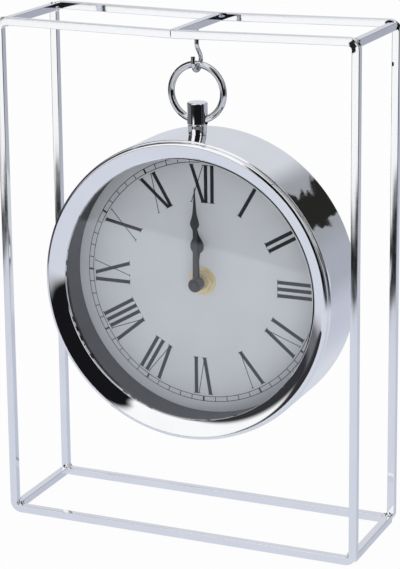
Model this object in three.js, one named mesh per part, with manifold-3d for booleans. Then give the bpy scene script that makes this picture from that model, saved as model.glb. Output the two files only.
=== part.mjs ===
// Table clock: a round case hangs by its bow from a hook inside a standing frame of square wire.
// Millimetres, +Z up, the dial looks along -Y, and the frame stands on Z = 0.
import * as THREE from 'three';
import { mergeVertices } from 'three/addons/utils/BufferGeometryUtils.js';
import Module from 'manifold-3d';

const wasm = await Module();
wasm.setup();

// Frame of square wire
const FRAME_WIDTH = 197;
const FRAME_DEPTH = 64;
const FRAME_HEIGHT = 269;
const WIRE = 4;
const BEND_INSIDE = 2;
const WIRE_EDGE = 0.35;
const RAIL_SAG = 1.6;
const CORNER_BAR_INSET = 1;

// Hook under the hanger bar
const HOOK_WIRE = 2.2;
const HOOK_BEND = 4.9;
const HOOK_DROP = 21.3;
const HOOK_KNEE = 9;
const HOOK_KNEE_SOFT = 1.6;
const HOOK_TIP = 3.4;

// Bow and stem
const BOW_RADIUS = 14.5;
const BOW_WIRE = 3.5;
const HANG_GAP = 0.3;
const STEM_RADIUS = 5.3;
const STEM_HEIGHT = 16.5;
const STEM_FOOT = 4.7;
const STEM_TAPER = 3.2;
const STEM_HOLE_HEIGHT = 7.6;
const STEM_CHAMFER = 0.6;
const STUD_RADIUS = 2;
const STUD_LENGTH = 5;
const STUD_NUT_WIDTH = 7;
const STUD_NUT_HEIGHT = 3;

// Case: drum, bezel and the stack clamped inside
const CASE_RADIUS = 79.4;
const CASE_DEPTH = 43;
const CASE_WALL = 1.2;
const CASE_ROUNDING = 0.6;
const CASE_RIM = 1;
const BEZEL_STEP = 0.6;
const BEZEL_DEPTH = 3.6;
const BEZEL_SHEET = 1.4;
const BEZEL_ROUNDING = 1.6;
const BEZEL_FACE = 9.5;
const LIP_SETBACK = 4;
const SKIRT_LENGTH = 5;
const BEZEL_BELLY = 1;
const SEAM = 0.3;
const GLASS_THICKNESS = 2;
const DIAL_SETBACK = 25.7;
const DIAL_THICKNESS = 0.8;
const RING_STEP = 2.2;
const RING_WALL = 2.7;
const RING_FLANGE = 4;
const LEDGE_WIDTH = 6.3;
const COVER_RECESS = 1;
const COVER_THICKNESS = 1.5;
const COVER_GAP = 0.4;
const COVER_SCREW_HEAD = 2.1;
const COVER_SCREW_CROWN = 1.5;
const COVER_SCREW_SHANK = 1.1;
const COVER_SCREW_LENGTH = 4;
const COVER_SCREW_HEAD_HEIGHT = 0.9;

// Hands and the parts that hold the movement to the dial
const HOUR_LENGTH = 29.5;
const HOUR_DISC_AT = 20.3;
const HOUR_DISC_HALF = 3.8;
const MINUTE_LENGTH = 52;
const MINUTE_LEAF_AT = 32.8;
const MINUTE_LEAF_HALF = 2.6;
const HAND_ROOT = 2.8;
const HAND_NECK = 2.1;
const HAND_TIP = 0.4;
const HAND_THICKNESS = 0.5;
const HUB_RADIUS = 3.6;
const HOUR_HAND_REACH = 6.6;
const MINUTE_HAND_REACH = 9.4;
const HUB_LENGTH = 2.4;
const CAP_RADIUS = 2.2;
const CAP_HEIGHT = 1.3;
const CAP_EDGE = 0.5;
const CAP_FLAT = 0.8;
const WASHER_RADIUS = 7.5;
const WASHER_THICKNESS = 0.5;
const NUT_WIDTH = 11;
const NUT_HEIGHT = 2.2;
const BUSH_RADIUS = 4;
const BUSH_WALL = 1.6;
const BUSH_REACH = 3.8;
const BUSH_FLANGE = 1.5;
const RUBBER_RADIUS = 9;
const RUBBER_THICKNESS = 0.6;

// Spade outlines: height above the widest place and half width there, both as shares of the widest half
const HOUR_SPADE = [
  [-0.95, 0.45], [-0.72, 0.76], [-0.38, 0.95], [0, 1], [0.38, 0.95], [0.68, 0.82], [0.95, 0.66],
  [1.32, 0.44], [1.66, 0.25], [2.1, 0.14],
];
const MINUTE_SPADE = [
  [-1.5, 0.4], [-1.05, 0.56], [-0.58, 0.84], [0, 1], [0.58, 0.86], [1.2, 0.67], [2.1, 0.44],
  [3.6, 0.3], [5, 0.22],
];

// Quartz movement housing and battery
const MOVEMENT_SIZE = 56;
const MOVEMENT_DEPTH = 15.7;
const MOVEMENT_CORNER = 3;
const HOUSING_WALL = 1.3;
const HOUSING_PARTING = 7.8;
const CELL_RADIUS = 7;
const CELL_LENGTH = 49.3;
const CELL_NUB_RADIUS = 2.7;
const CELL_NUB_LENGTH = 1;
const CELL_GAP = 0.2;
const CONTACT_SHEET = 0.4;
const CONTACT_WIDTH = 9;
const BAY_WALL = 1;
const BAY_LIP = 1.5;
const CELL_EDGE = 0.4;

// Gear train: teeth and modules
const TRAIN_MODULE = 0.3;
const SECONDS_MODULE = 0.4;
const ROTOR_MODULE = 0.3;
const MOTION_MODULE = 0.4;
const PINION = 8;
const CENTRE_TEETH = 64;
const THIRD_TEETH = 60;
const SECONDS_TEETH = 48;
const INTERMEDIATE_TEETH = 40;
const CANNON_TEETH = 10;
const MOTION_TEETH = 30;
const HOUR_TEETH = 32;
const SETTING_TEETH = 12;
const ADDENDUM = 0.65;
const DEDENDUM = 1.6;
const TOOTH_TIP = 0.085;
const ARBOR = 0.5;
const CANNON_RADIUS = 1.2;
const PIPE_WALL = 0.8;
const RUNNING_GAP = 0.1;
const BOSS_WALL = 0.8;
const BOSS_HEIGHT = 0.5;
const WHEEL_THICKNESS = 0.8;
const PINION_LENGTH = 1.3;
const LAYER = 1.55;

// Stepping motor, drive board and setting knob
const MAGNET_RADIUS = 3;
const MAGNET_LENGTH = 3.4;
const STATOR_THICKNESS = 1.2;
const STATOR_GAP = 0.5;
const STATOR_RIM = 0.7;
const STATOR_ARM = 3.2;
const COIL_RADIUS = 3;
const COIL_LENGTH = 20;
const BOARD_LENGTH = 16;
const BOARD_WIDTH = 12.5;
const BOARD_THICKNESS = 0.8;
const CRYSTAL_RADIUS = 1;
const CRYSTAL_LENGTH = 6;
const SETTING_ARBOR = 1;
const KNOB_RADIUS = 5.2;
const KNOB_HEIGHT = 2.2;
const KNOB_FLUTES = 14;
const KNOB_FLUTE_DEPTH = 0.35;
const KNOB_CLEARANCE = 0.8;
const KNOB_SUNK = 0.2;
const POCKET_WALL = 1;

// Cutters run this far past the face they open; joined pieces sink this far into each other
const OVERCUT = 1;
const SINK = 0.5;

// Materials
const metal = (color, roughness) => new THREE.MeshStandardMaterial({ color, roughness, metalness: 1 });
const plain = (color, roughness) => new THREE.MeshStandardMaterial({ color, roughness, metalness: 0 });
const CHROME = metal(0xd4d5de, 0.08);
const BRASS = metal(0xc79a3e, 0.28);
const STEEL = metal(0xb4b6ba, 0.35);
const COPPER = metal(0xb5683a, 0.35);
const GLASS = new THREE.MeshStandardMaterial({
  color: 0xeef3f2, roughness: 0.03, metalness: 0, transparent: true, opacity: 0.18,
});
const DIAL_PAPER = plain(0xc6c6c8, 0.6);
const HAND_BLACK = plain(0x121214, 0.45);
const DARK_PLASTIC = plain(0x3d3d40, 0.5);
const HOUSING_BLACK = plain(0x1c1c1e, 0.55);
const RUBBER = plain(0x161616, 0.8);
const COVER_GREY = plain(0x8c8d91, 0.45);
const GEAR_WHITE = plain(0xe8e6dc, 0.5);
const BOARD_GREEN = plain(0x2f6b45, 0.55);
const CELL_JACKET = plain(0x6d747d, 0.35);

// Welds a geometry to one indexed surface with outward faces
function weld(source) {
  const bare = source.clone();
  bare.deleteAttribute('normal');
  bare.deleteAttribute('uv');
  const merged = mergeVertices(bare, 1e-4);
  const p = merged.attributes.position;
  const index = merged.index.array;
  const kept = [];
  let volume = 0;
  const [a, b, c] = [new THREE.Vector3(), new THREE.Vector3(), new THREE.Vector3()];
  for (let i = 0; i < index.length; i += 3) {
    const [u, v, w] = [index[i], index[i + 1], index[i + 2]];
    if (u === v || v === w || w === u) continue;
    kept.push(u, v, w);
    a.fromBufferAttribute(p, u);
    b.fromBufferAttribute(p, v);
    c.fromBufferAttribute(p, w);
    volume += a.dot(b.cross(c));
  }
  if (volume < 0) kept.reverse();
  merged.setIndex(kept);
  return merged;
}

function toSolid(geometry) {
  const welded = weld(geometry);
  return new wasm.Manifold(new wasm.Mesh({
    numProp: 3,
    vertProperties: new Float32Array(welded.attributes.position.array),
    triVerts: new Uint32Array(welded.index.array),
  }));
}

function toGeometry(solid) {
  const mesh = solid.getMesh();
  const geometry = new THREE.BufferGeometry();
  geometry.setAttribute('position', new THREE.BufferAttribute(new Float32Array(mesh.vertProperties), 3));
  geometry.setIndex(new THREE.BufferAttribute(new Uint32Array(mesh.triVerts), 1));
  return geometry;
}

const join = (first, ...rest) => toGeometry(rest.reduce((s, g) => s.add(toSolid(g)), toSolid(first)));
const cut = (first, ...rest) => toGeometry(rest.reduce((s, g) => s.subtract(toSolid(g)), toSolid(first)));

// Basic shapes; the clock's own axis runs along Y
const box = (x0, x1, y0, y1, z0, z1) =>
  new THREE.BoxGeometry(x1 - x0, y1 - y0, z1 - z0).translate((x0 + x1) / 2, (y0 + y1) / 2, (z0 + z1) / 2);
const rod = (radius, y0, y1, x = 0, z = 0, segments = 24) =>
  new THREE.CylinderGeometry(radius, radius, y1 - y0, segments).translate(x, (y0 + y1) / 2, z);
const bore = (radius, y0, y1, x = 0, z = 0, segments = 24) =>
  rod(radius, y0 - OVERCUT, y1 + OVERCUT, x, z, segments);
const rodX = (radius, x0, x1, y, z, segments = 24) =>
  new THREE.CylinderGeometry(radius, radius, x1 - x0, segments).rotateZ(Math.PI / 2)
    .translate((x0 + x1) / 2, y, z);
const rodZ = (radius, z0, z1, x, y, segments = 24) =>
  new THREE.CylinderGeometry(radius, radius, z1 - z0, segments).rotateX(Math.PI / 2)
    .translate(x, y, (z0 + z1) / 2);
const turned = (profile, segments) =>
  weld(new THREE.LatheGeometry(profile.map(([r, y]) => new THREE.Vector2(r, y)), segments));
const ringOf = (inner, outer, y0, y1, segments) =>
  turned([[inner, y0], [outer, y0], [outer, y1], [inner, y1], [inner, y0]], segments);

// A flat outline drawn in X and Z, made solid from y0 (front) to y1 (back)
const plate = (shape, y0, y1) =>
  new THREE.ExtrudeGeometry(shape, { depth: y1 - y0, bevelEnabled: false })
    .rotateX(Math.PI / 2).translate(0, y1, 0);

function outlineOf(points) {
  return new THREE.Shape(points.map(([x, z]) => new THREE.Vector2(x, z)));
}

function arcPoints(cx, cy, radius, from, to, steps) {
  return Array.from({ length: steps + 1 }, (_, i) => {
    const t = THREE.MathUtils.degToRad(from + (to - from) * i / steps);
    return [cx + radius * Math.cos(t), cy + radius * Math.sin(t)];
  });
}

// Corners of a regular polygon, the first one at +X
const roundPoints = (cx, cy, radius, corners) =>
  arcPoints(cx, cy, radius, 0, 360 - 360 / corners, corners - 1);
const hexagon = (width) => outlineOf(roundPoints(0, 0, width / Math.sqrt(3), 6));

function roundedSquare(half, corner) {
  const inset = half - corner;
  return outlineOf([
    ...arcPoints(inset, inset, corner, 0, 90, 3), ...arcPoints(-inset, inset, corner, 90, 180, 3),
    ...arcPoints(-inset, -inset, corner, 180, 270, 3), ...arcPoints(inset, -inset, corner, 270, 360, 3),
  ]);
}

function named(group, name, geometry, material, x = 0, y = 0, z = 0) {
  const mesh = new THREE.Mesh(geometry, material);
  mesh.name = name;
  mesh.position.set(x, y, z);
  group.add(mesh);
}

// Frame
const WIRE_HALF = WIRE / 2;
const HALF_WIDTH = FRAME_WIDTH / 2;
const LOOP_INNER_Y = FRAME_DEPTH / 2 - WIRE;
const HANGER_TOP = FRAME_HEIGHT - RAIL_SAG;

function loopOutline(inset, corner) {
  const x = HALF_WIDTH - inset - corner;
  const top = FRAME_HEIGHT - inset - corner;
  const low = inset + corner;
  return [
    [0, FRAME_HEIGHT - inset - RAIL_SAG],
    ...arcPoints(-x, top, corner, 90, 180, 4), ...arcPoints(-x, low, corner, 180, 270, 4),
    ...arcPoints(x, low, corner, 270, 360, 4), ...arcPoints(x, top, corner, 0, 90, 4),
  ];
}

// The wire's long edges are eased by the bevel, so the outline is drawn that much smaller
function loop(yMiddle) {
  const shape = outlineOf(loopOutline(WIRE_EDGE, BEND_INSIDE + WIRE - WIRE_EDGE));
  shape.holes.push(outlineOf(loopOutline(WIRE - WIRE_EDGE, BEND_INSIDE + WIRE_EDGE)));
  return new THREE.ExtrudeGeometry(shape, {
    depth: WIRE - 2 * WIRE_EDGE, bevelEnabled: true, bevelThickness: WIRE_EDGE,
    bevelSize: WIRE_EDGE, bevelSegments: 1,
  }).rotateX(Math.PI / 2).translate(0, yMiddle + WIRE_HALF - WIRE_EDGE, 0);
}

function crossBar(x, z) {
  const flat = WIRE_HALF - WIRE_EDGE;
  const section = outlineOf([
    [-flat, -WIRE_HALF], [flat, -WIRE_HALF], [WIRE_HALF, -flat], [WIRE_HALF, flat],
    [flat, WIRE_HALF], [-flat, WIRE_HALF], [-WIRE_HALF, flat], [-WIRE_HALF, -flat],
  ]);
  return plate(section, -LOOP_INNER_Y, LOOP_INNER_Y).translate(x, 0, z);
}

function buildFrame(group) {
  const loopY = FRAME_DEPTH / 2 - WIRE_HALF;
  named(group, 'front_loop', loop(-loopY), CHROME);
  named(group, 'rear_loop', loop(loopY), CHROME);
  const barX = HALF_WIDTH - CORNER_BAR_INSET - WIRE_HALF;
  const low = CORNER_BAR_INSET + WIRE_HALF;
  const high = FRAME_HEIGHT - CORNER_BAR_INSET - WIRE_HALF;
  named(group, 'top_left_bar', crossBar(-barX, high), CHROME);
  named(group, 'top_right_bar', crossBar(barX, high), CHROME);
  named(group, 'bottom_left_bar', crossBar(-barX, low), CHROME);
  named(group, 'bottom_right_bar', crossBar(barX, low), CHROME);
  named(group, 'hanger_bar', crossBar(0, HANGER_TOP - WIRE_HALF), CHROME);
}

// Hook: straight shank, a knee leaning back, then a round bend open towards the front
const HOOK_TOP = HANGER_TOP - WIRE;
const HOOK_LOW = HOOK_TOP - HOOK_DROP;
const HOOK_CENTRE = HOOK_LOW + HOOK_BEND;

function hookGeometry() {
  const point = (y, z) => new THREE.Vector3(0, y, z);
  const knee = HOOK_TOP - HOOK_KNEE;
  const reach = knee - HOOK_CENTRE;
  const start = 90 - THREE.MathUtils.radToDeg(Math.acos(HOOK_BEND / reach));
  const bend = arcPoints(0, HOOK_CENTRE, HOOK_BEND, start, -180, 14).map(([y, z]) => point(y, z));
  const path = new THREE.CurvePath();
  const soft = HOOK_KNEE_SOFT;
  const lean = bend[0].clone().sub(point(0, knee)).normalize().multiplyScalar(soft).add(point(0, knee));
  path.add(new THREE.LineCurve3(point(0, HOOK_TOP), point(0, knee + soft)));
  path.add(new THREE.QuadraticBezierCurve3(point(0, knee + soft), point(0, knee), lean));
  path.add(new THREE.LineCurve3(lean, bend[0]));
  path.add(new THREE.CatmullRomCurve3(bend));
  path.add(new THREE.LineCurve3(bend.at(-1), point(-HOOK_BEND, HOOK_CENTRE + HOOK_TIP)));
  const section = outlineOf(roundPoints(0, 0, HOOK_WIRE / 2, 8));
  return new THREE.ExtrudeGeometry(section, { steps: 28, bevelEnabled: false, extrudePath: path });
}

// Bow and stem, hung from the hook's lowest point
const BOW_CENTRE = HOOK_LOW + HOOK_WIRE / 2 + HANG_GAP + BOW_WIRE / 2 - BOW_RADIUS;
const BOW_RISE = BOW_RADIUS - Math.sqrt(BOW_RADIUS ** 2 - STEM_RADIUS ** 2);
const STEM_HOLE_RADIUS = BOW_WIRE / 2 + BOW_RISE / 2 + HANG_GAP;
const STEM_HOLE_Z = BOW_CENTRE - BOW_RADIUS + BOW_RISE / 2;
const STEM_BASE_Z = STEM_HOLE_Z - STEM_HOLE_HEIGHT;
const AXIS_Z = STEM_BASE_Z - CASE_RADIUS;

function stemGeometry() {
  const base = CASE_RADIUS;
  const top = base + STEM_HEIGHT;
  const body = turned([
    [0, base - STUD_LENGTH], [STUD_RADIUS, base - STUD_LENGTH], [STUD_RADIUS, base], [STEM_FOOT, base],
    [STEM_RADIUS, base + STEM_TAPER], [STEM_RADIUS, top - STEM_CHAMFER],
    [STEM_RADIUS - STEM_CHAMFER, top], [0, top],
  ], 20).rotateX(Math.PI / 2);
  const length = STEM_RADIUS + OVERCUT;
  return cut(body, rodX(STEM_HOLE_RADIUS, -length, length, 0, base + STEM_HOLE_HEIGHT, 16));
}

// Case stations along Y, counted from the middle of the case
const CASE_FRONT = -CASE_DEPTH / 2;
const CASE_BACK = CASE_DEPTH / 2;
const BEZEL_BACK = CASE_FRONT + BEZEL_DEPTH;
const LIP_FRONT = CASE_FRONT + LIP_SETBACK;
const LIP_BACK = LIP_FRONT + BEZEL_SHEET;
const BEZEL_RADIUS = CASE_RADIUS - BEZEL_STEP;
const LIP_RADIUS = BEZEL_RADIUS - BEZEL_FACE;
const CASE_INSIDE = CASE_RADIUS - CASE_WALL;
const SKIRT_RADIUS = CASE_INSIDE - RUNNING_GAP;
const SKIRT_INSIDE = SKIRT_RADIUS - BEZEL_SHEET;
const GLASS_RADIUS = SKIRT_INSIDE - SEAM;
const GLASS_FRONT = LIP_BACK;
const GLASS_BACK = GLASS_FRONT + GLASS_THICKNESS;
const DIAL_FRONT = CASE_FRONT + DIAL_SETBACK;
const DIAL_BACK = DIAL_FRONT + DIAL_THICKNESS;
const RING_OUTSIDE = GLASS_RADIUS - RING_STEP;
const RING_INSIDE = RING_OUTSIDE - RING_WALL;
const COVER_BACK = CASE_BACK - COVER_RECESS;
const COVER_FRONT = COVER_BACK - COVER_THICKNESS;
const LEDGE_FRONT = COVER_FRONT - CASE_WALL;
const LEDGE_INSIDE = CASE_INSIDE - LEDGE_WIDTH;
const COVER_RADIUS = CASE_INSIDE - COVER_GAP;
const SCREW_CIRCLE = (LEDGE_INSIDE + CASE_INSIDE) / 2 + COVER_SCREW_SHANK / 2;
const SCREW_ANGLES = [45, 135, 225, 315];
const BIG_ROUND = 44;
const INNER_ROUND = 32;

const screwPlace = (angle) => {
  const t = THREE.MathUtils.degToRad(angle);
  return [SCREW_CIRCLE * Math.cos(t), SCREW_CIRCLE * Math.sin(t)];
};

function drumGeometry() {
  const round = CASE_ROUNDING;
  const rim = CASE_RIM;
  const body = turned([
    [CASE_INSIDE, BEZEL_BACK], ...arcPoints(CASE_RADIUS - round, BEZEL_BACK + round, round, -90, 0, 2),
    ...arcPoints(CASE_RADIUS - rim, CASE_BACK - rim, rim, 0, 90, 2),
    [CASE_INSIDE, CASE_BACK], [CASE_INSIDE, COVER_FRONT], [LEDGE_INSIDE, COVER_FRONT],
    [LEDGE_INSIDE, LEDGE_FRONT], [CASE_INSIDE, LEDGE_FRONT], [CASE_INSIDE, BEZEL_BACK],
  ], BIG_ROUND);
  const stemHole = rodZ(STUD_RADIUS + HANG_GAP, CASE_INSIDE - OVERCUT, CASE_RADIUS + OVERCUT, 0, 0, 12);
  const screwHoles = SCREW_ANGLES.map((angle) =>
    bore(COVER_SCREW_SHANK + RUNNING_GAP, LEDGE_FRONT, COVER_FRONT, ...screwPlace(angle), 10));
  return cut(body, stemHole, ...screwHoles);
}

// Rounded face from the lip to the crest, a rolled edge on the drum's front, and a skirt inside the drum
function bezelGeometry() {
  const round = BEZEL_ROUNDING;
  const crest = BEZEL_RADIUS - round;
  const fall = crest - LIP_RADIUS;
  const crown = (fall ** 2 + LIP_SETBACK ** 2) / (2 * LIP_SETBACK);
  const foot = 180 + THREE.MathUtils.radToDeg(Math.atan2(crown - LIP_SETBACK, fall));
  return turned([
    ...arcPoints(crest, CASE_FRONT + crown, crown, foot, 270, 5),
    ...arcPoints(crest, CASE_FRONT + round, round, 270, 360, 3).slice(1),
    [BEZEL_RADIUS, BEZEL_BACK], [SKIRT_RADIUS, BEZEL_BACK], [SKIRT_RADIUS, BEZEL_BACK + SKIRT_LENGTH],
    [SKIRT_INSIDE, BEZEL_BACK + SKIRT_LENGTH], [SKIRT_INSIDE, CASE_FRONT + round],
    [(SKIRT_INSIDE + LIP_RADIUS) / 2, (CASE_FRONT + round + LIP_BACK) / 2 - BEZEL_BELLY],
    [LIP_RADIUS, LIP_BACK], [LIP_RADIUS, LIP_FRONT],
  ], BIG_ROUND);
}

function coverGeometry() {
  const window = MOVEMENT_SIZE / 2 + COVER_GAP;
  const disc = rod(COVER_RADIUS, COVER_FRONT, COVER_BACK, 0, 0, BIG_ROUND);
  const opening = plate(
    roundedSquare(window, MOVEMENT_CORNER), COVER_FRONT - OVERCUT, COVER_BACK + OVERCUT,
  );
  const screwHoles = SCREW_ANGLES.map((angle) =>
    bore(COVER_SCREW_SHANK + RUNNING_GAP, COVER_FRONT, COVER_BACK, ...screwPlace(angle), 10));
  return cut(disc, opening, ...screwHoles);
}

function screwGeometry() {
  const tip = COVER_BACK - COVER_SCREW_LENGTH;
  return turned([
    [0, tip], [COVER_SCREW_SHANK, tip + COVER_SCREW_SHANK], [COVER_SCREW_SHANK, COVER_BACK],
    [COVER_SCREW_HEAD, COVER_BACK], [COVER_SCREW_CROWN, COVER_BACK + COVER_SCREW_HEAD_HEIGHT],
    [0, COVER_BACK + COVER_SCREW_HEAD_HEIGHT],
  ], 10);
}

function buildCase(clock) {
  named(clock, 'stem', stemGeometry(), CHROME);
  const nutTop = Math.sqrt(CASE_INSIDE ** 2 - (STUD_NUT_WIDTH / Math.sqrt(3)) ** 2) - HANG_GAP;
  const nut = cut(
    plate(hexagon(STUD_NUT_WIDTH), 0, STUD_NUT_HEIGHT),
    bore(STUD_RADIUS + RUNNING_GAP, 0, STUD_NUT_HEIGHT, 0, 0, 12),
  ).rotateX(Math.PI / 2);
  named(clock, 'stem_nut', nut, STEEL, 0, 0, nutTop - STUD_NUT_HEIGHT);
  named(clock, 'case_drum', drumGeometry(), CHROME);
  named(clock, 'bezel', bezelGeometry(), CHROME);
  named(clock, 'glass', rod(GLASS_RADIUS, GLASS_FRONT, GLASS_BACK, 0, 0, INNER_ROUND), GLASS);
  const flange = GLASS_BACK + RING_FLANGE;
  const frontRing = turned([
    [RING_INSIDE, GLASS_BACK], [GLASS_RADIUS, GLASS_BACK], [GLASS_RADIUS, flange],
    [RING_OUTSIDE, flange], [RING_OUTSIDE, DIAL_FRONT], [RING_INSIDE, DIAL_FRONT], [RING_INSIDE, GLASS_BACK],
  ], INNER_ROUND);
  named(clock, 'front_spacer_ring', frontRing, DARK_PLASTIC);
  const dialHole = BUSH_RADIUS + SEAM;
  named(clock, 'dial', ringOf(dialHole, RING_OUTSIDE, DIAL_FRONT, DIAL_BACK, INNER_ROUND), DIAL_PAPER);
  const rearRing = ringOf(RING_INSIDE, RING_OUTSIDE, DIAL_BACK, LEDGE_FRONT, INNER_ROUND);
  named(clock, 'rear_spacer_ring', rearRing, DARK_PLASTIC);
  named(clock, 'back_cover', coverGeometry(), COVER_GREY);
  SCREW_ANGLES.forEach((angle, i) => {
    const [x, z] = screwPlace(angle);
    named(clock, `cover_screw_${i + 1}`, screwGeometry(), STEEL, x, 0, z);
  });
}

// Movement stations along Y, counted from the dial's back
const MOVEMENT_FRONT = DIAL_BACK + RUBBER_THICKNESS;
const MOVEMENT_BACK = MOVEMENT_FRONT + MOVEMENT_DEPTH;
const INNER_FRONT = MOVEMENT_FRONT + HOUSING_WALL;
const INNER_BACK = MOVEMENT_BACK - HOUSING_WALL;
const PARTING = MOVEMENT_FRONT + HOUSING_PARTING;
const HALF = MOVEMENT_SIZE / 2;
const INNER_HALF = HALF - HOUSING_WALL;
const CELL_Z = -INNER_HALF + CELL_GAP + CELL_RADIUS;
const CELL_Y = INNER_FRONT + CELL_GAP + CELL_RADIUS;
const DIVIDER = CELL_Z + CELL_RADIUS + CELL_GAP;
const DIVIDER_TOP = DIVIDER + BAY_WALL;

// Gear layers, from the dial backwards, each a layer pitch behind the one before
const layerAt = (n) => INNER_FRONT + BOSS_HEIGHT + RUNNING_GAP + n * LAYER;
const HOUR_LAYER = layerAt(0.2);
const MOTION_LAYER = layerAt(1.2);
const CENTRE_LAYER = layerAt(2.25);
const THIRD_LAYER = layerAt(3.3);
const SECONDS_LAYER = layerAt(4.3);
const INTERMEDIATE_LAYER = layerAt(5.3);
const ARBOR_FRONT = INNER_FRONT + RUNNING_GAP;
const ARBOR_BACK = INNER_BACK - RUNNING_GAP;

// Gear centres: each distance follows from the teeth and module of its pair
const polar = (distance, degrees, [x, z] = [0, 0]) => {
  const t = THREE.MathUtils.degToRad(degrees);
  return [x + distance * Math.cos(t), z + distance * Math.sin(t)];
};
const THIRD_AT = 180;
const INTERMEDIATE_AT = 40;
const ROTOR_AT = -20;
const MOTION_AT = 110;
const SETTING_AT = 150;
const THIRD_DISTANCE = TRAIN_MODULE * (CENTRE_TEETH + PINION) / 2;
const THIRD_MODULE = 2 * THIRD_DISTANCE / (THIRD_TEETH + PINION);
const THIRD_CENTRE = polar(THIRD_DISTANCE, THIRD_AT);
const INTERMEDIATE_CENTRE = polar(SECONDS_MODULE * (SECONDS_TEETH + PINION) / 2, INTERMEDIATE_AT);
const ROTOR_CENTRE = polar(ROTOR_MODULE * (INTERMEDIATE_TEETH + PINION) / 2, ROTOR_AT, INTERMEDIATE_CENTRE);
const MOTION_DISTANCE = MOTION_MODULE * (CANNON_TEETH + MOTION_TEETH) / 2;
const HOUR_MODULE = 2 * MOTION_DISTANCE / (PINION + HOUR_TEETH);
const MOTION_CENTRE = polar(MOTION_DISTANCE, MOTION_AT);
const SETTING_CENTRE = polar(MOTION_MODULE * (MOTION_TEETH + SETTING_TEETH) / 2, SETTING_AT, MOTION_CENTRE);

const PIPE_INSIDE = CANNON_RADIUS + RUNNING_GAP;
const PIPE_OUTSIDE = PIPE_INSIDE + PIPE_WALL;
const BUSH_INSIDE = BUSH_RADIUS - BUSH_WALL;
const KNOB_POCKET = KNOB_RADIUS + KNOB_CLEARANCE;
const KNOB_FRONT = MOVEMENT_BACK - KNOB_HEIGHT - KNOB_SUNK;
const POCKET_FLOOR = KNOB_FRONT - SEAM;
const SETTING_END = KNOB_FRONT + KNOB_HEIGHT / 2;

// Phase that sets a gap of the second gear against a tooth of the first; the direction runs first to second
const meshed = (phase, teeth, otherTeeth, degrees) => {
  const direction = THREE.MathUtils.degToRad(degrees);
  return direction + Math.PI - (phase - direction) * teeth / otherTeeth + Math.PI / otherTeeth;
};

function gear(teeth, module, phase, y0, y1) {
  const pitch = teeth * module / 2;
  const step = 2 * Math.PI / teeth;
  const points = [];
  for (let i = 0; i < teeth; i += 1) {
    const corner = (radius, share) => {
      const t = phase + (i + share) * step;
      points.push([radius * Math.cos(t), radius * Math.sin(t)]);
    };
    corner(pitch - DEDENDUM * module, -0.5);
    corner(pitch + ADDENDUM * module, -TOOTH_TIP);
    corner(pitch + ADDENDUM * module, TOOTH_TIP);
  }
  return plate(outlineOf(points), y0, y1);
}

const wheel = (teeth, module, phase, layer) => gear(teeth, module, phase, layer, layer + WHEEL_THICKNESS);
function pinion(teeth, module, phase, layer) {
  const spare = (PINION_LENGTH - WHEEL_THICKNESS) / 2;
  return gear(teeth, module, phase, layer - spare, layer + WHEEL_THICKNESS + spare);
}

function buildTrain(clock) {
  const back = THIRD_AT + 180;
  const centre = cut(
    wheel(CENTRE_TEETH, TRAIN_MODULE, 0, CENTRE_LAYER),
    bore(CANNON_RADIUS + RUNNING_GAP, CENTRE_LAYER, CENTRE_LAYER + WHEEL_THICKNESS, 0, 0, 16),
  );
  named(clock, 'centre_wheel', centre, GEAR_WHITE);
  const third = join(
    wheel(THIRD_TEETH, THIRD_MODULE, 0, THIRD_LAYER),
    pinion(PINION, TRAIN_MODULE, meshed(0, CENTRE_TEETH, PINION, THIRD_AT), CENTRE_LAYER),
    rod(ARBOR, ARBOR_FRONT, ARBOR_BACK, 0, 0, 10),
  );
  named(clock, 'third_wheel', third, GEAR_WHITE, THIRD_CENTRE[0], 0, THIRD_CENTRE[1]);
  const seconds = join(
    wheel(SECONDS_TEETH, SECONDS_MODULE, 0, SECONDS_LAYER),
    pinion(PINION, THIRD_MODULE, meshed(0, THIRD_TEETH, PINION, back), THIRD_LAYER),
    rod(ARBOR, THIRD_LAYER - RUNNING_GAP, ARBOR_BACK, 0, 0, 10),
  );
  named(clock, 'seconds_wheel', seconds, GEAR_WHITE);
  const intermediate = join(
    wheel(INTERMEDIATE_TEETH, ROTOR_MODULE, 0, INTERMEDIATE_LAYER),
    pinion(PINION, SECONDS_MODULE, meshed(0, SECONDS_TEETH, PINION, INTERMEDIATE_AT), SECONDS_LAYER),
    rod(ARBOR, ARBOR_FRONT, ARBOR_BACK, 0, 0, 10),
  );
  const [ix, iz] = INTERMEDIATE_CENTRE;
  named(clock, 'intermediate_wheel', intermediate, GEAR_WHITE, ix, 0, iz);
  const magnetBack = SECONDS_LAYER;
  const rotor = join(
    rod(MAGNET_RADIUS, magnetBack - MAGNET_LENGTH, magnetBack, 0, 0, 16),
    pinion(PINION, ROTOR_MODULE, meshed(0, INTERMEDIATE_TEETH, PINION, ROTOR_AT), INTERMEDIATE_LAYER),
    rod(ARBOR, ARBOR_FRONT, ARBOR_BACK, 0, 0, 10),
  );
  named(clock, 'rotor', rotor, STEEL, ROTOR_CENTRE[0], 0, ROTOR_CENTRE[1]);
}

// Motion work and hands; the hands point to twelve
const HOUR_HAND_Y = DIAL_FRONT - HOUR_HAND_REACH;
const MINUTE_HAND_Y = DIAL_FRONT - MINUTE_HAND_REACH;
const HUB_HALF = HUB_LENGTH / 2;

function spadeOutline(length, at, half, stations) {
  const side = [
    [HAND_ROOT / 2, 0], [HAND_NECK / 2, at - 2 * half],
    ...stations.map(([rise, share]) => [share * half, at + rise * half]),
    [HAND_TIP / 2, length - HAND_TIP],
  ];
  const other = side.map(([x, z]) => [-x, z]).reverse();
  return outlineOf([...side, [0, length], ...other]);
}

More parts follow.
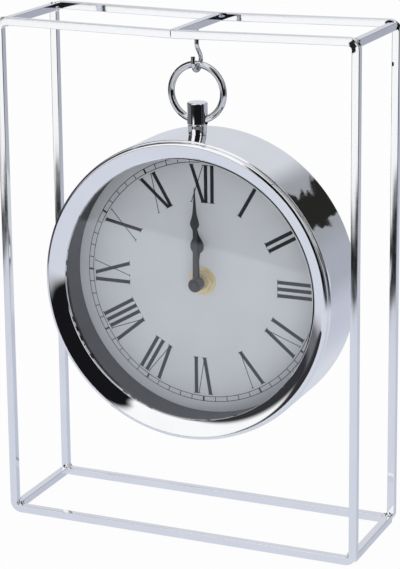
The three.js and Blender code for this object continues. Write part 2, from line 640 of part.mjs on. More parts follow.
function hand(shape, y, holeRadius) {
  const blade = plate(shape, y - HAND_THICKNESS / 2, y + HAND_THICKNESS / 2);
  const hub = rod(HUB_RADIUS, y - HUB_HALF, y + HUB_HALF, 0, 0, 20);
  return cut(join(blade, hub), bore(holeRadius, y - HUB_HALF, y + HUB_HALF, 0, 0, 16));
}

function buildMotionWork(clock) {
  const motionPhase = meshed(0, CANNON_TEETH, MOTION_TEETH, MOTION_AT);
  const minuteFront = MINUTE_HAND_Y - HUB_HALF;
  const cannon = join(
    rod(CANNON_RADIUS, minuteFront, CENTRE_LAYER + WHEEL_THICKNESS, 0, 0, 16),
    pinion(CANNON_TEETH, MOTION_MODULE, 0, MOTION_LAYER),
  );
  named(clock, 'minute_cannon', cannon, BRASS);
  const leaf = spadeOutline(MINUTE_LENGTH, MINUTE_LEAF_AT, MINUTE_LEAF_HALF, MINUTE_SPADE);
  named(clock, 'minute_hand', hand(leaf, MINUTE_HAND_Y, CANNON_RADIUS + RUNNING_GAP), HAND_BLACK);
  const cap = turned([
    [0, minuteFront], [CAP_RADIUS, minuteFront], [CAP_RADIUS, minuteFront - CAP_EDGE],
    [CAP_RADIUS - CAP_EDGE, minuteFront - CAP_HEIGHT + CAP_EDGE / 2], [CAP_FLAT, minuteFront - CAP_HEIGHT],
    [0, minuteFront - CAP_HEIGHT],
  ], 16);
  named(clock, 'hand_cap', cap, HAND_BLACK);
  const motion = join(
    wheel(MOTION_TEETH, MOTION_MODULE, motionPhase, MOTION_LAYER),
    pinion(PINION, HOUR_MODULE, 0, HOUR_LAYER),
    rod(ARBOR, ARBOR_FRONT, MOTION_LAYER + WHEEL_THICKNESS, 0, 0, 12),
  );
  named(clock, 'motion_wheel', motion, GEAR_WHITE, MOTION_CENTRE[0], 0, MOTION_CENTRE[1]);
  const hourBack = HOUR_LAYER + WHEEL_THICKNESS;
  const hourFront = HOUR_HAND_Y - HUB_HALF;
  const hourPhase = meshed(0, PINION, HOUR_TEETH, MOTION_AT + 180);
  const pipe = toSolid(wheel(HOUR_TEETH, HOUR_MODULE, hourPhase, HOUR_LAYER))
    .add(toSolid(rod(PIPE_OUTSIDE, hourFront, hourBack, 0, 0, 16)));
  const hour = toGeometry(pipe.subtract(toSolid(bore(PIPE_INSIDE, hourFront, hourBack, 0, 0, 16))));
  named(clock, 'hour_wheel', hour, GEAR_WHITE);
  const spade = spadeOutline(HOUR_LENGTH, HOUR_DISC_AT, HOUR_DISC_HALF, HOUR_SPADE);
  named(clock, 'hour_hand', hand(spade, HOUR_HAND_Y, PIPE_OUTSIDE + RUNNING_GAP), HAND_BLACK);
  const settingPhase = meshed(motionPhase, MOTION_TEETH, SETTING_TEETH, SETTING_AT);
  const setting = join(
    wheel(SETTING_TEETH, MOTION_MODULE, settingPhase, MOTION_LAYER),
    rod(SETTING_ARBOR, ARBOR_FRONT, SETTING_END, 0, 0, 12),
  );
  named(clock, 'setting_wheel', setting, GEAR_WHITE, SETTING_CENTRE[0], 0, SETTING_CENTRE[1]);
  const flutes = [];
  for (let i = 0; i < 2 * KNOB_FLUTES; i += 1) {
    flutes.push(polar(KNOB_RADIUS - (i % 2) * KNOB_FLUTE_DEPTH, i * 180 / KNOB_FLUTES));
  }
  const knob = cut(
    plate(outlineOf(flutes), KNOB_FRONT, KNOB_FRONT + KNOB_HEIGHT),
    rod(SETTING_ARBOR + RUNNING_GAP, KNOB_FRONT - OVERCUT, SETTING_END + RUNNING_GAP, 0, 0, 12),
  );
  named(clock, 'set_knob', knob, HOUSING_BLACK, SETTING_CENTRE[0], 0, SETTING_CENTRE[1]);
}

// Movement housing: two trays, with bearing bosses and a bay for the battery
const TRAIN_CENTRES = [THIRD_CENTRE, INTERMEDIATE_CENTRE, ROTOR_CENTRE];

function tray(y0, y1, inner0, inner1) {
  const shell = toSolid(plate(roundedSquare(HALF, MOVEMENT_CORNER), y0, y1));
  const hollow = toSolid(plate(roundedSquare(INNER_HALF, MOVEMENT_CORNER - HOUSING_WALL), inner0, inner1));
  const side = INNER_HALF + SINK;
  const [wall0, wall1] = inner0 > y0 ? [inner0 - SINK, y1] : [y0, inner1 + SINK];
  return shell.subtract(hollow).add(toSolid(box(-side, side, wall0, wall1, DIVIDER, DIVIDER_TOP)));
}

function buildHousing(clock) {
  let front = tray(MOVEMENT_FRONT, PARTING, INNER_FRONT, PARTING + OVERCUT);
  const frontBosses = [...TRAIN_CENTRES, MOTION_CENTRE].map((at) => [at, ARBOR]);
  frontBosses.push([SETTING_CENTRE, SETTING_ARBOR]);
  for (const [[x, z], radius] of frontBosses) {
    const rim = radius + BOSS_WALL;
    const end = INNER_FRONT + BOSS_HEIGHT;
    front = front.add(toSolid(rod(rim, INNER_FRONT - SINK, end, x, z, 10)));
    front = front.subtract(toSolid(rod(radius + RUNNING_GAP, INNER_FRONT, end + OVERCUT, x, z, 10)));
  }
  front = front.subtract(toSolid(bore(BUSH_RADIUS + RUNNING_GAP, MOVEMENT_FRONT, INNER_FRONT, 0, 0, 16)));
  named(clock, 'movement_front', toGeometry(front), HOUSING_BLACK);

  let rear = tray(PARTING, MOVEMENT_BACK, PARTING - OVERCUT, INNER_BACK);
  for (const [x, z] of [...TRAIN_CENTRES, [0, 0]]) {
    const end = INNER_BACK - BOSS_HEIGHT;
    rear = rear.add(toSolid(rod(ARBOR + BOSS_WALL, end, INNER_BACK + SINK, x, z, 10)));
    rear = rear.subtract(toSolid(rod(ARBOR + RUNNING_GAP, end - OVERCUT, INNER_BACK, x, z, 10)));
  }
  const [kx, kz] = SETTING_CENTRE;
  const pocketFront = POCKET_FLOOR - POCKET_WALL;
  rear = rear.add(toSolid(rod(KNOB_POCKET + POCKET_WALL, pocketFront, INNER_BACK + SINK, kx, kz, 16)));
  rear = rear.subtract(toSolid(rod(KNOB_POCKET, POCKET_FLOOR, MOVEMENT_BACK + OVERCUT, kx, kz, 16)));
  rear = rear.subtract(toSolid(bore(SETTING_ARBOR + RUNNING_GAP, pocketFront, POCKET_FLOOR, kx, kz, 12)));
  const bayLow = -INNER_HALF + BAY_LIP;
  const bay = box(-INNER_HALF, INNER_HALF, INNER_BACK - OVERCUT, MOVEMENT_BACK + OVERCUT, bayLow, DIVIDER);
  named(clock, 'movement_rear', toGeometry(rear.subtract(toSolid(bay))), HOUSING_BLACK);
}

function buildHolding(clock) {
  const bushFront = DIAL_FRONT - BUSH_REACH;
  const flangeBack = INNER_FRONT + BOSS_HEIGHT;
  const bush = turned([
    [BUSH_INSIDE, bushFront], [BUSH_RADIUS, bushFront], [BUSH_RADIUS, INNER_FRONT],
    [BUSH_RADIUS + BUSH_FLANGE, INNER_FRONT], [BUSH_RADIUS + BUSH_FLANGE, flangeBack],
    [BUSH_INSIDE, flangeBack], [BUSH_INSIDE, bushFront],
  ], 16);
  named(clock, 'hand_bush', bush, BRASS);
  const clear = BUSH_RADIUS + RUNNING_GAP;
  named(clock, 'rubber_washer', ringOf(clear, RUBBER_RADIUS, DIAL_BACK, MOVEMENT_FRONT, 16), RUBBER);
  const washerFront = DIAL_FRONT - WASHER_THICKNESS;
  named(clock, 'brass_washer', ringOf(clear, WASHER_RADIUS, washerFront, DIAL_FRONT, 24), BRASS);
  const nut = cut(
    plate(hexagon(NUT_WIDTH), washerFront - NUT_HEIGHT, washerFront),
    bore(clear, washerFront - NUT_HEIGHT, washerFront, 0, 0, 16),
  );
  named(clock, 'brass_nut', nut, BRASS);
}

function buildDrive(clock) {
  const [rx, rz] = ROTOR_CENTRE;
  const statorBack = SECONDS_LAYER - MAGNET_LENGTH / 2 + STATOR_THICKNESS / 2;
  const hole = MAGNET_RADIUS + STATOR_GAP;
  const coilX = INNER_HALF - COIL_RADIUS - STATOR_GAP;
  const left = rx - hole - STATOR_RIM;
  const right = rx + hole + STATOR_RIM;
  const low = rz - COIL_LENGTH / 2;
  const high = rz + COIL_LENGTH / 2;
  const armEnd = coilX + COIL_RADIUS;
  const yoke = outlineOf([
    [left, low - STATOR_ARM], [armEnd, low - STATOR_ARM], [armEnd, low], [right, low],
    [right, high], [armEnd, high], [armEnd, high + STATOR_ARM], [left, high + STATOR_ARM],
  ]);
  yoke.holes.push(outlineOf(roundPoints(rx, rz, hole, 16).reverse()));
  named(clock, 'stator', plate(yoke, statorBack - STATOR_THICKNESS, statorBack), STEEL);
  const coilY = statorBack - STATOR_THICKNESS / 2;
  named(clock, 'coil', rodZ(COIL_RADIUS, low, high, coilX, coilY), COPPER);

  const boardBack = INNER_FRONT + BOSS_HEIGHT + BOARD_THICKNESS;
  const boardLeft = -INNER_HALF + STATOR_GAP;
  const boardLow = DIVIDER_TOP + STATOR_GAP;
  const boardRight = boardLeft + BOARD_WIDTH;
  const board = box(boardLeft, boardRight, INNER_FRONT, boardBack, boardLow, boardLow + BOARD_LENGTH);
  named(clock, 'circuit_board', board, BOARD_GREEN);
  const crystalX = boardLeft + BOARD_WIDTH / 2;
  const crystalZ = boardLow + BOARD_LENGTH / 2;
  named(clock, 'quartz_crystal', rodZ(
    CRYSTAL_RADIUS, crystalZ - CRYSTAL_LENGTH / 2, crystalZ + CRYSTAL_LENGTH / 2,
    crystalX, boardBack + CRYSTAL_RADIUS, 16,
  ), STEEL);

  const positive = INNER_HALF - CELL_GAP - CONTACT_SHEET;
  const nubEnd = positive - CELL_GAP;
  const cellEnd = nubEnd - CELL_NUB_LENGTH;
  const cellStart = cellEnd - CELL_LENGTH;
  const cell = turned([
    [0, cellStart], [CELL_RADIUS - CELL_EDGE, cellStart], [CELL_RADIUS, cellStart + CELL_EDGE],
    [CELL_RADIUS, cellEnd - CELL_EDGE], [CELL_RADIUS - CELL_EDGE, cellEnd], [CELL_NUB_RADIUS, cellEnd],
    [CELL_NUB_RADIUS, nubEnd], [0, nubEnd],
  ], 24).rotateZ(-Math.PI / 2);
  named(clock, 'battery', cell, CELL_JACKET, 0, CELL_Y, CELL_Z);
  const half = CONTACT_WIDTH / 2;
  named(clock, 'contact_positive', box(
    positive, positive + CONTACT_SHEET, CELL_Y - half, CELL_Y + half, CELL_Z - half, CELL_Z + half,
  ), STEEL);
  const wallX = -INNER_HALF + CELL_GAP;
  const touchX = cellStart - CELL_GAP;
  const flat = CONTACT_WIDTH / 10;
  const leaf = outlineOf([
    [wallX, CELL_Z - half], [wallX + CONTACT_SHEET, CELL_Z - half], [touchX, CELL_Z - flat],
    [touchX, CELL_Z + flat], [wallX + CONTACT_SHEET, CELL_Z + half], [wallX, CELL_Z + half],
    [wallX, CELL_Z + half - flat], [touchX - CONTACT_SHEET, CELL_Z + flat],
    [touchX - CONTACT_SHEET, CELL_Z - flat], [wallX, CELL_Z - half + flat],
  ]);
  named(clock, 'contact_negative', plate(leaf, CELL_Y - half / 2, CELL_Y + half / 2), STEEL);
}

const clockAndStand = new THREE.Group();
clockAndStand.name = 'hanging_clock';
buildFrame(clockAndStand);
named(clockAndStand, 'hook', hookGeometry(), CHROME);
const bow = new THREE.TorusGeometry(BOW_RADIUS, BOW_WIRE / 2, 8, 32).rotateX(Math.PI / 2);
named(clockAndStand, 'bow', bow, CHROME, 0, 0, BOW_CENTRE);

const clock = new THREE.Group();
clock.name = 'clock';
clock.position.set(0, 0, AXIS_Z);
buildCase(clock);
buildHolding(clock);
buildHousing(clock);
buildTrain(clock);
buildMotionWork(clock);
buildDrive(clock);
clockAndStand.add(clock);

export default clockAndStand;
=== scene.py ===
"""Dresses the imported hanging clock: a chrome pocket-watch case hung in a stand of square wire."""
import math

import bmesh
import bpy
from mathutils import Matrix, Vector


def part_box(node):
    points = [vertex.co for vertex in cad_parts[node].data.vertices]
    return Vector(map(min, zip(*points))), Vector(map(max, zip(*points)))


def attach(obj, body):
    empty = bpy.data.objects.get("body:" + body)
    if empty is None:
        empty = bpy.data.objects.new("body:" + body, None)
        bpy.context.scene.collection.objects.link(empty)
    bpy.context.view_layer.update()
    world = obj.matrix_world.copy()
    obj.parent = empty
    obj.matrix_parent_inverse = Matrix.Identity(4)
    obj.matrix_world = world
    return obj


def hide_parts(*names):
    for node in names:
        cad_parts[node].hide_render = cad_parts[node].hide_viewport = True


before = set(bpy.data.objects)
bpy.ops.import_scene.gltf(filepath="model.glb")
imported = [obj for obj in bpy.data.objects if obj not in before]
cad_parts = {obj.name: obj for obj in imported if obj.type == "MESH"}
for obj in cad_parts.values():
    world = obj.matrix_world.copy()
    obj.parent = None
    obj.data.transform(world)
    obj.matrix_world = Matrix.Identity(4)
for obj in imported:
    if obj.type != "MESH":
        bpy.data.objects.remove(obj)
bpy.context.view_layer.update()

# Sizes in millimetres, the same as in the part's source
MM = 0.001
WIRE = 4.0
WIRE_EDGE = 0.35
BEND_OUTSIDE = 6.0
RAIL_SAG = 1.6
SEAM_WIDTH = 0.22
BEAD = 1.55
HOOK_RADIUS = 1.1
HOOK_BEND = 4.9
HOOK_LEAN = 41.45
HOOK_KNEE = 9.0
HOOK_SOFT = 1.6
HOOK_TIP = 3.4
HOOK_DROP = 21.3
BOW_RADIUS = 14.5
BOW_WIRE = 1.75
BOW_GAP = 3.0
ROUND = 144
FINE = 48


def reach(node):
    """Lowest and highest corner of a CAD node, in millimetres."""
    return [Vector(corner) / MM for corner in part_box(node)]


FRAME_LOW, FRAME_HIGH = reach("front_loop")
FRAME_WIDTH = FRAME_HIGH.x - FRAME_LOW.x
FRAME_HEIGHT = FRAME_HIGH.z - FRAME_LOW.z
AXIS_Z = sum(corner.z for corner in reach("dial")) / 2
DIAL_FRONT = reach("dial")[0].y
HANGER_LOW = reach("hanger_bar")[0].z


# ---- Modelling by hand: one primitive, then edit-mode steps

def mm(x=0, y=0, z=0):
    return (x * MM, y * MM, z * MM)


def object_mode():
    if bpy.context.mode != "OBJECT":
        bpy.ops.object.mode_set(mode="OBJECT")


def in_hand():
    """The active piece, closed for editing."""
    object_mode()
    return bpy.context.object


def hold(*pieces):
    """Selects just these pieces, with the first one active."""
    object_mode()
    bpy.ops.object.select_all(action="DESELECT")
    for piece in pieces:
        piece.select_set(True)
    bpy.context.view_layer.objects.active = pieces[0]


def add(primitive, at=(0, 0, 0), turn=(0, 0, 0), **settings):
    """Adds a primitive alone, settles its place into its mesh and opens it for editing."""
    object_mode()
    bpy.ops.object.select_all(action="DESELECT")
    primitive(location=mm(*at), rotation=[math.radians(a) for a in turn], **settings)
    bpy.ops.object.transform_apply(location=True, rotation=True, scale=True)
    bpy.ops.object.mode_set(mode="EDIT")
    return bpy.context.object


def pick(kind, test, facing=None):
    """Selects the vertices, edges or faces whose corners, in millimetres, pass the test."""
    bpy.ops.mesh.select_mode(type=kind)
    bpy.ops.mesh.select_all(action="DESELECT")
    mesh = bmesh.from_edit_mesh(bpy.context.object.data)
    items = {"VERT": mesh.verts, "EDGE": mesh.edges, "FACE": mesh.faces}[kind]
    for item in items:
        corners = [v.co / MM for v in ([item] if kind == "VERT" else item.verts)]
        if test(corners) and (facing is None or item.normal.dot(Vector(facing)) > 0.9):
            item.select_set(True)
    mesh.select_flush_mode()
    bmesh.update_edit_mesh(bpy.context.object.data)


def everything(kind="FACE"):
    bpy.ops.mesh.select_mode(type=kind)
    bpy.ops.mesh.select_all(action="SELECT")


def move(x=0, y=0, z=0):
    bpy.ops.transform.translate(value=mm(x, y, z))


def pull(x=0, y=0, z=0):
    bpy.ops.mesh.extrude_region_move(TRANSFORM_OT_translate={"value": mm(x, y, z)})


def stretch(x, y, z, about):
    bpy.ops.transform.resize(value=(x, y, z), center_override=mm(*about))


def bevel(width, segments=2):
    bpy.ops.mesh.bevel(offset=width * MM, segments=segments, affect="EDGES")


def bevel_sharp(width, segments=2, angle=50):
    """Rounds every edge of the open piece that is sharper than the angle."""
    bpy.ops.mesh.select_mode(type="EDGE")
    bpy.ops.mesh.select_all(action="DESELECT")
    bpy.ops.mesh.edges_select_sharp(sharpness=math.radians(angle))
    bevel(width, segments)


def clean():
    """Merges doubles and turns the faces outwards."""
    everything()
    bpy.ops.mesh.remove_doubles(threshold=1e-6)
    bpy.ops.mesh.normals_make_consistent(inside=False)


def line(points):
    """Opens a new piece that is one chain of edges through the points."""
    add(bpy.ops.mesh.primitive_plane_add, at=points[0], size=MM)
    everything("VERT")
    bpy.ops.mesh.merge(type="CENTER")
    for before, after in zip(points, points[1:]):
        step = mm(*(b - a for a, b in zip(before, after)))
        bpy.ops.mesh.extrude_vertices_move(TRANSFORM_OT_translate={"value": step})


def turned(profile, axis="Y", centre=(0, 0, 0), steps=ROUND):
    """Spins a chain of (radius, station along the axis) points round the axis through the centre."""
    cx, cy, cz = centre
    place = {
        "X": lambda r, s: (s, cy, cz + r),
        "Y": lambda r, s: (cx + r, s, cz),
        "Z": lambda r, s: (cx + r, cy, s),
    }[axis]
    line([place(r, s) for r, s in profile])
    everything("VERT")
    way = {"X": (1, 0, 0), "Y": (0, 1, 0), "Z": (0, 0, 1)}[axis]
    bpy.ops.mesh.spin(steps=steps, angle=2 * math.pi, center=mm(*centre), axis=way)
    clean()
    return bpy.context.object


def on_case(profile, steps=ROUND):
    return turned(profile, "Y", (0, 0, AXIS_Z), steps)


def ring_edge(radius, station):
    """Picks the round edge of a turned case piece at that radius and station."""
    pick("EDGE", lambda c: all(
        abs(math.hypot(p.x, p.z - AXIS_Z) - radius) < 0.05 and abs(p.y - station) < 0.05 for p in c))


def arc(cx, cy, radius, start, end, steps):
    turns = [math.radians(start + (end - start) * i / steps) for i in range(steps + 1)]
    return [(cx + radius * math.cos(t), cy + radius * math.sin(t)) for t in turns]


def modify(kind, **settings):
    """Adds a modifier to the piece in hand and applies it."""
    piece = in_hand()
    made = piece.modifiers.new(kind.lower(), kind)
    for key, value in settings.items():
        setattr(made, key, value)
    bpy.ops.object.modifier_apply(modifier=made.name)
    return piece


def cut(piece, cutter, operation="DIFFERENCE"):
    """Cuts the piece with a cutter, which is used up."""
    hold(piece)
    modify("BOOLEAN", operation=operation, object=cutter, solver="EXACT")
    bpy.data.objects.remove(cutter)
    return piece


def joined(*pieces):
    """Makes one piece of several; the first one's mesh takes the others in."""
    hold(*pieces)
    bpy.ops.object.join()
    return pieces[0]


def settle(name, look, body, nodes=(), angle=35):
    """Names the piece in hand, smooths it by angle, gives it its material and ties it to the frame."""
    piece = in_hand()
    piece.select_set(True)
    bpy.ops.object.shade_smooth_by_angle(angle=math.radians(angle))
    modify("WEIGHTED_NORMAL", keep_sharp=True)
    piece.name = piece.data.name = name
    piece.data.materials.clear()
    piece.data.materials.append(look)
    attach(piece, body)
    if nodes:
        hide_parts(*nodes)
    return piece


# ---- Materials: sums on sockets add Math nodes, everything else comes from Tree.node

class Socket:
    """An output socket; arithmetic on it adds Math nodes to its tree."""

    def __init__(self, tree, socket):
        self.tree, self.socket = tree, socket

    def __add__(self, other): return self.tree.sum("ADD", self, other)
    def __radd__(self, other): return self.tree.sum("ADD", other, self)
    def __sub__(self, other): return self.tree.sum("SUBTRACT", self, other)
    def __rsub__(self, other): return self.tree.sum("SUBTRACT", other, self)
    def __mul__(self, other): return self.tree.sum("MULTIPLY", self, other)
    def __rmul__(self, other): return self.tree.sum("MULTIPLY", other, self)
    def __truediv__(self, other): return self.tree.sum("DIVIDE", self, other)


class Tree:
    """A shader tree, with one method that makes any node."""

    def __init__(self, owner):
        owner.use_nodes = True
        self.nodes, self.links = owner.node_tree.nodes, owner.node_tree.links
        self.nodes.clear()

    def node(self, kind, settings=None, sockets=None, output=0):
        made = self.nodes.new(kind)
        for key, value in (settings or {}).items():
            if key == "stops":
                ramp = made.color_ramp.elements
                while len(ramp) < len(value):
                    ramp.new(0.5)
                for element, (position, colour) in zip(ramp, value):
                    element.position, element.color = position, colour
            else:
                setattr(made, key, value)
        for key, value in (sockets or {}).items():
            if isinstance(value, Socket):
                self.links.new(value.socket, made.inputs[key])
            else:
                made.inputs[key].default_value = value
        return Socket(self, made.outputs[output]) if len(made.outputs) else None

    def sum(self, operation, *values):
        return self.node("ShaderNodeMath", {"operation": operation}, dict(enumerate(values)))

    def vector(self, operation, *values, output=0):
        return self.node("ShaderNodeVectorMath", {"operation": operation}, dict(enumerate(values)), output)

    def between(self, value, low, high, to_low=0.0, to_high=1.0):
        """Smooth step of a value from low to high."""
        return self.node("ShaderNodeMapRange", {"interpolation_type": "SMOOTHSTEP"}, {
            "Value": value, "From Min": low, "From Max": high, "To Min": to_low, "To Max": to_high})

    def band(self, value, start, full, fade, end):
        """One where a value lies from full to fade, with smooth steps down to start and end."""
        return self.between(value, start, full) * self.between(value, fade, end, 1.0, 0.0)

    def curve(self, value, points):
        """A value read off a line through (value, result) points."""
        first, last = points[0][0], points[-1][0]
        low, high = min(p[1] for p in points), max(p[1] for p in points)
        share = self.node("ShaderNodeMapRange", {}, {"Value": value, "From Min": first, "From Max": last})
        level = [((a - first) / (last - first), (b - low) / (high - low)) for a, b in points]
        ramp = self.node("ShaderNodeValToRGB", {"stops": [(a, (b, b, b, 1.0)) for a, b in level]}, {0: share})
        return ramp * (high - low) + low

    def noise(self, place, scale, detail=3.0, roughness=0.5):
        return self.node("ShaderNodeTexNoise", {}, {
            "Vector": place, "Scale": scale, "Detail": detail, "Roughness": roughness})

    def blend(self, share, first, second):
        """Colour mix of two colours by a share."""
        return self.node("ShaderNodeMix", {"data_type": "RGBA"}, {0: share, 6: first, 7: second}, 2)

    def stretched(self, place, x, y, z):
        return self.node("ShaderNodeMapping", {}, {"Vector": place, "Scale": (x, y, z)})

    def bump(self, height, strength, distance, face=None):
        made = {"Height": height, "Strength": strength, "Distance": distance * MM}
        return self.node("ShaderNodeBump", {}, {**made, "Normal": face} if face else made)


def finish(name, paint):
    """A node material; paint(tree, place) returns its shader."""
    made = bpy.data.materials.new(name)
    tree = Tree(made)
    place = tree.node("ShaderNodeTexCoord", output="Object")
    tree.node("ShaderNodeOutputMaterial", {}, {"Surface": paint(tree, place)})
    return made


def rgb(red, green, blue):
    return (red, green, blue, 1.0)


def grained(light, dark, grain, rough, metal=0.0, bump=0.2, depth=0.02, coat=0.0):
    """Paint with a fine grain: colour, gloss and surface all vary a little with it."""
    def paint(tree, place):
        fine = tree.noise(place, grain, 4.0, 0.6)
        broad = tree.noise(place, grain / 14, 2.0)
        share = tree.between(fine * 0.6 + broad * 0.4, 0.3, 0.7)
        return tree.node("ShaderNodeBsdfPrincipled", {}, {
            "Base Color": tree.blend(share, dark, light),
            "Roughness": tree.between(fine, 0.2, 0.8, rough - 0.06, rough + 0.08),
            "Metallic": metal, "Coat Weight": coat, "Coat Roughness": 0.15,
            "Normal": tree.bump(fine, bump, depth)})
    return paint


def leaned(tree, lean):
    """The surface's own direction, leaned a little: the photo's clock hangs slightly turned and tipped."""
    face = tree.node("ShaderNodeNewGeometry", output="Normal")
    return tree.vector("NORMALIZE", tree.vector("ADD", face, lean))


PLATE_DULL, PLATE_BRIGHT = (0.925, 0.93, 0.94), (0.965, 0.97, 0.98)
BURN_BLACK = rgb(0.018, 0.018, 0.020)


def chrome_paint(ripple, streak, dull, bright, burns=(), lean=None, tone=1.0, rim=1.0):
    """Bright plating: faint ripples under it, hairlines and a little haze, and dark where a weld burnt it; tone and
    rim below 1 paint a darker reflection and dark outlines onto it.
    """
    def paint(tree, place):
        haze = tree.noise(place, 60, 3.0)
        hair = tree.noise(tree.stretched(place, *streak), 900, 2.0)
        wave = tree.noise(place, 26, 1.0)
        shade = tree.between(haze * 0.7 + hair * 0.3, 0.3, 0.75)
        plate = tree.blend(shade, *(rgb(*(tone * part for part in end)) for end in (PLATE_DULL, PLATE_BRIGHT)))
        for at, across in burns:
            offset = tree.vector("DIVIDE", tree.vector("SUBTRACT", place, mm(*at)), mm(*across))
            away = tree.vector("LENGTH", offset, output="Value")
            ragged = away + tree.noise(place, 700, 3.0, 0.6) * 1.2 - 0.6
            plate = tree.blend(tree.between(ragged, 0.85, 1.1, 1.0, 0.0), plate, BURN_BLACK)
        return tree.node("ShaderNodeBsdfPrincipled", {}, {
            "Base Color": plate,
            "Metallic": 1.0,
            "Specular Tint": rgb(rim, rim, rim),
            "Roughness": tree.between(haze * 0.5 + hair * 0.5, 0.25, 0.8, bright, dull),
            "Normal": tree.bump(wave, ripple, 0.4, leaned(tree, lean) if lean else None)})
    return paint


def dial_paint(tree, place):
    """Matt printed card: fibre grain and a slightly darker rim."""
    fibre = tree.noise(place, 2600, 5.0, 0.65)
    cloud = tree.noise(place, 45, 2.0)
    across = tree.vector("LENGTH", tree.vector("SUBTRACT", place, mm(0, DIAL_FRONT, AXIS_Z)), output="Value")
    rim = tree.between(across, 0.058, 0.0742)
    tone = tree.between(fibre * 0.55 + cloud * 0.45, 0.3, 0.7)
    pale = tree.blend(tone, rgb(0.585, 0.60, 0.626), rgb(0.635, 0.65, 0.676))
    return tree.node("ShaderNodeBsdfPrincipled", {}, {
        "Base Color": tree.blend(rim * 0.5, pale, rgb(0.43, 0.443, 0.465)),
        "Roughness": tree.between(fibre, 0.2, 0.8, 0.5, 0.68),
        "Normal": tree.bump(fibre, 0.15, 0.02)})


GLASS_LEAN = (-0.12, 0.0, 0.0)
STEM_LEAN = (0.0, 0.0, 0.05)
DRUM_LEAN = (0.0, 0.047, 0.0)
GLASS_GAIN, GLASS_MOST = 2.2, 0.25


def glass_paint(tree, place):
    """Flat glass with faint smears: what is behind shows through, and its front face mirrors by the angle."""
    smear = tree.noise(tree.stretched(place, 1.0, 1.0, 2.6), 40, 4.0)
    behind = tree.node("ShaderNodeNewGeometry", output="Backfacing")
    mirrored = tree.node("ShaderNodeFresnel", {}, {"IOR": 1.5}) * GLASS_GAIN * (1.0 - behind)
    mirrored = tree.sum("MINIMUM", mirrored, GLASS_MOST)
    sheen = tree.node("ShaderNodeBsdfGlossy", {}, {
        "Color": rgb(1, 1, 1),
        "Roughness": tree.between(smear, 0.45, 0.8, 0.0, 0.03),
        "Normal": leaned(tree, GLASS_LEAN)})
    clear = tree.node("ShaderNodeBsdfTransparent", {}, {"Color": rgb(0.985, 0.99, 0.99)})
    return tree.node("ShaderNodeMixShader", {}, {0: mirrored, 1: clear, 2: sheen})


# Place and reach of each burn, in millimetres
WELD_BURNS = [
    ((-98.3, -32.0, 265.5), (1.6, 1.6, 4.2)), ((95.0, -32.0, 264.8), (1.9, 1.2, 3.4)),
    ((93.6, 28.0, 267.4), (3.0, 1.6, 1.3)), ((97.8, 28.4, 266.6), (1.2, 1.4, 2.8)),
    ((95.2, 28.0, 246.5), (0.6, 0.8, 1.2)), ((-93.6, -28.0, 268.0), (2.2, 2.6, 1.0)),
    ((2.6, 28.0, 267.0), (2.6, 1.4, 1.0)), ((94.5, 28.0, 3.6), (1.4, 1.4, 1.2))]
WIRE_CHROME = finish("wire_chrome", chrome_paint(0.10, (1, 0.1, 0.1), 0.09, 0.035, WELD_BURNS))
# The bow and hook get a darker copy of the chrome: tone 0.8 and rim 0.05 paint darker reflections and dark outlines
# onto them
PAINTED_DARK_RING_CHROME = finish("ring_chrome_painted_dark", chrome_paint(0.02, (1, 1, 1), 0.04, 0.015, tone=0.8, rim=0.05))
STEM_CHROME = finish("stem_chrome", chrome_paint(0.05, (1, 1, 1), 0.05, 0.02, lean=STEM_LEAN))
DRUM_CHROME = finish("drum_chrome", chrome_paint(0.04, (1, 0.05, 1), 0.03, 0.005, lean=DRUM_LEAN))
CASE_CHROME = finish("case_chrome", chrome_paint(0.04, (1, 0.05, 1), 0.03, 0.005))
DIAL_CARD = finish("dial_card", dial_paint)
DIAL_INK = finish("dial_ink", grained(
    rgb(0.016, 0.016, 0.019), rgb(0.009, 0.0095, 0.011), 3000, 0.6, bump=0.1))
GLASS = finish("front_glass", glass_paint)
HAND_BLACK = finish("hand_black", grained(
    rgb(0.030, 0.031, 0.035), rgb(0.015, 0.015, 0.018), 1400, 0.34, bump=0.12, coat=0.3))
WALL_GREY = finish("inner_wall_grey", grained(
    rgb(0.012, 0.012, 0.014), rgb(0.008, 0.008, 0.010), 1200, 0.40, bump=0.08, coat=0.1))
BRASS = finish("brass", grained(
    rgb(0.86, 0.73, 0.44), rgb(0.76, 0.62, 0.34), 1500, 0.32, metal=0.45, bump=0.1))
STEEL = finish("zinc_steel", grained(
    rgb(0.62, 0.63, 0.65), rgb(0.50, 0.51, 0.53), 1800, 0.34, metal=1.0, bump=0.15))
COPPER = finish("enamelled_copper", grained(
    rgb(0.62, 0.28, 0.12), rgb(0.48, 0.19, 0.08), 2400, 0.32, metal=1.0, bump=0.3))
HOUSING = finish("moulded_black", grained(
    rgb(0.026, 0.026, 0.028), rgb(0.017, 0.017, 0.019), 2200, 0.52, bump=0.35))
RUBBER = finish("rubber_black", grained(
    rgb(0.020, 0.020, 0.020), rgb(0.012, 0.012, 0.012), 2600, 0.78, bump=0.3))
COVER_GREY = finish("cover_grey", grained(
    rgb(0.34, 0.345, 0.355), rgb(0.28, 0.285, 0.295), 2000, 0.42, metal=0.6, bump=0.2))
GEAR_WHITE = finish("gear_white", grained(
    rgb(0.80, 0.79, 0.73), rgb(0.72, 0.71, 0.65), 1800, 0.46, bump=0.12))
BOARD_GREEN = finish("board_green", grained(
    rgb(0.05, 0.20, 0.09), rgb(0.03, 0.14, 0.06), 1600, 0.45, bump=0.2))
CELL_JACKET = finish("cell_jacket", grained(
    rgb(0.24, 0.27, 0.31), rgb(0.19, 0.215, 0.25), 1300, 0.3, metal=0.5, bump=0.1, coat=0.4))


# ---- Stand

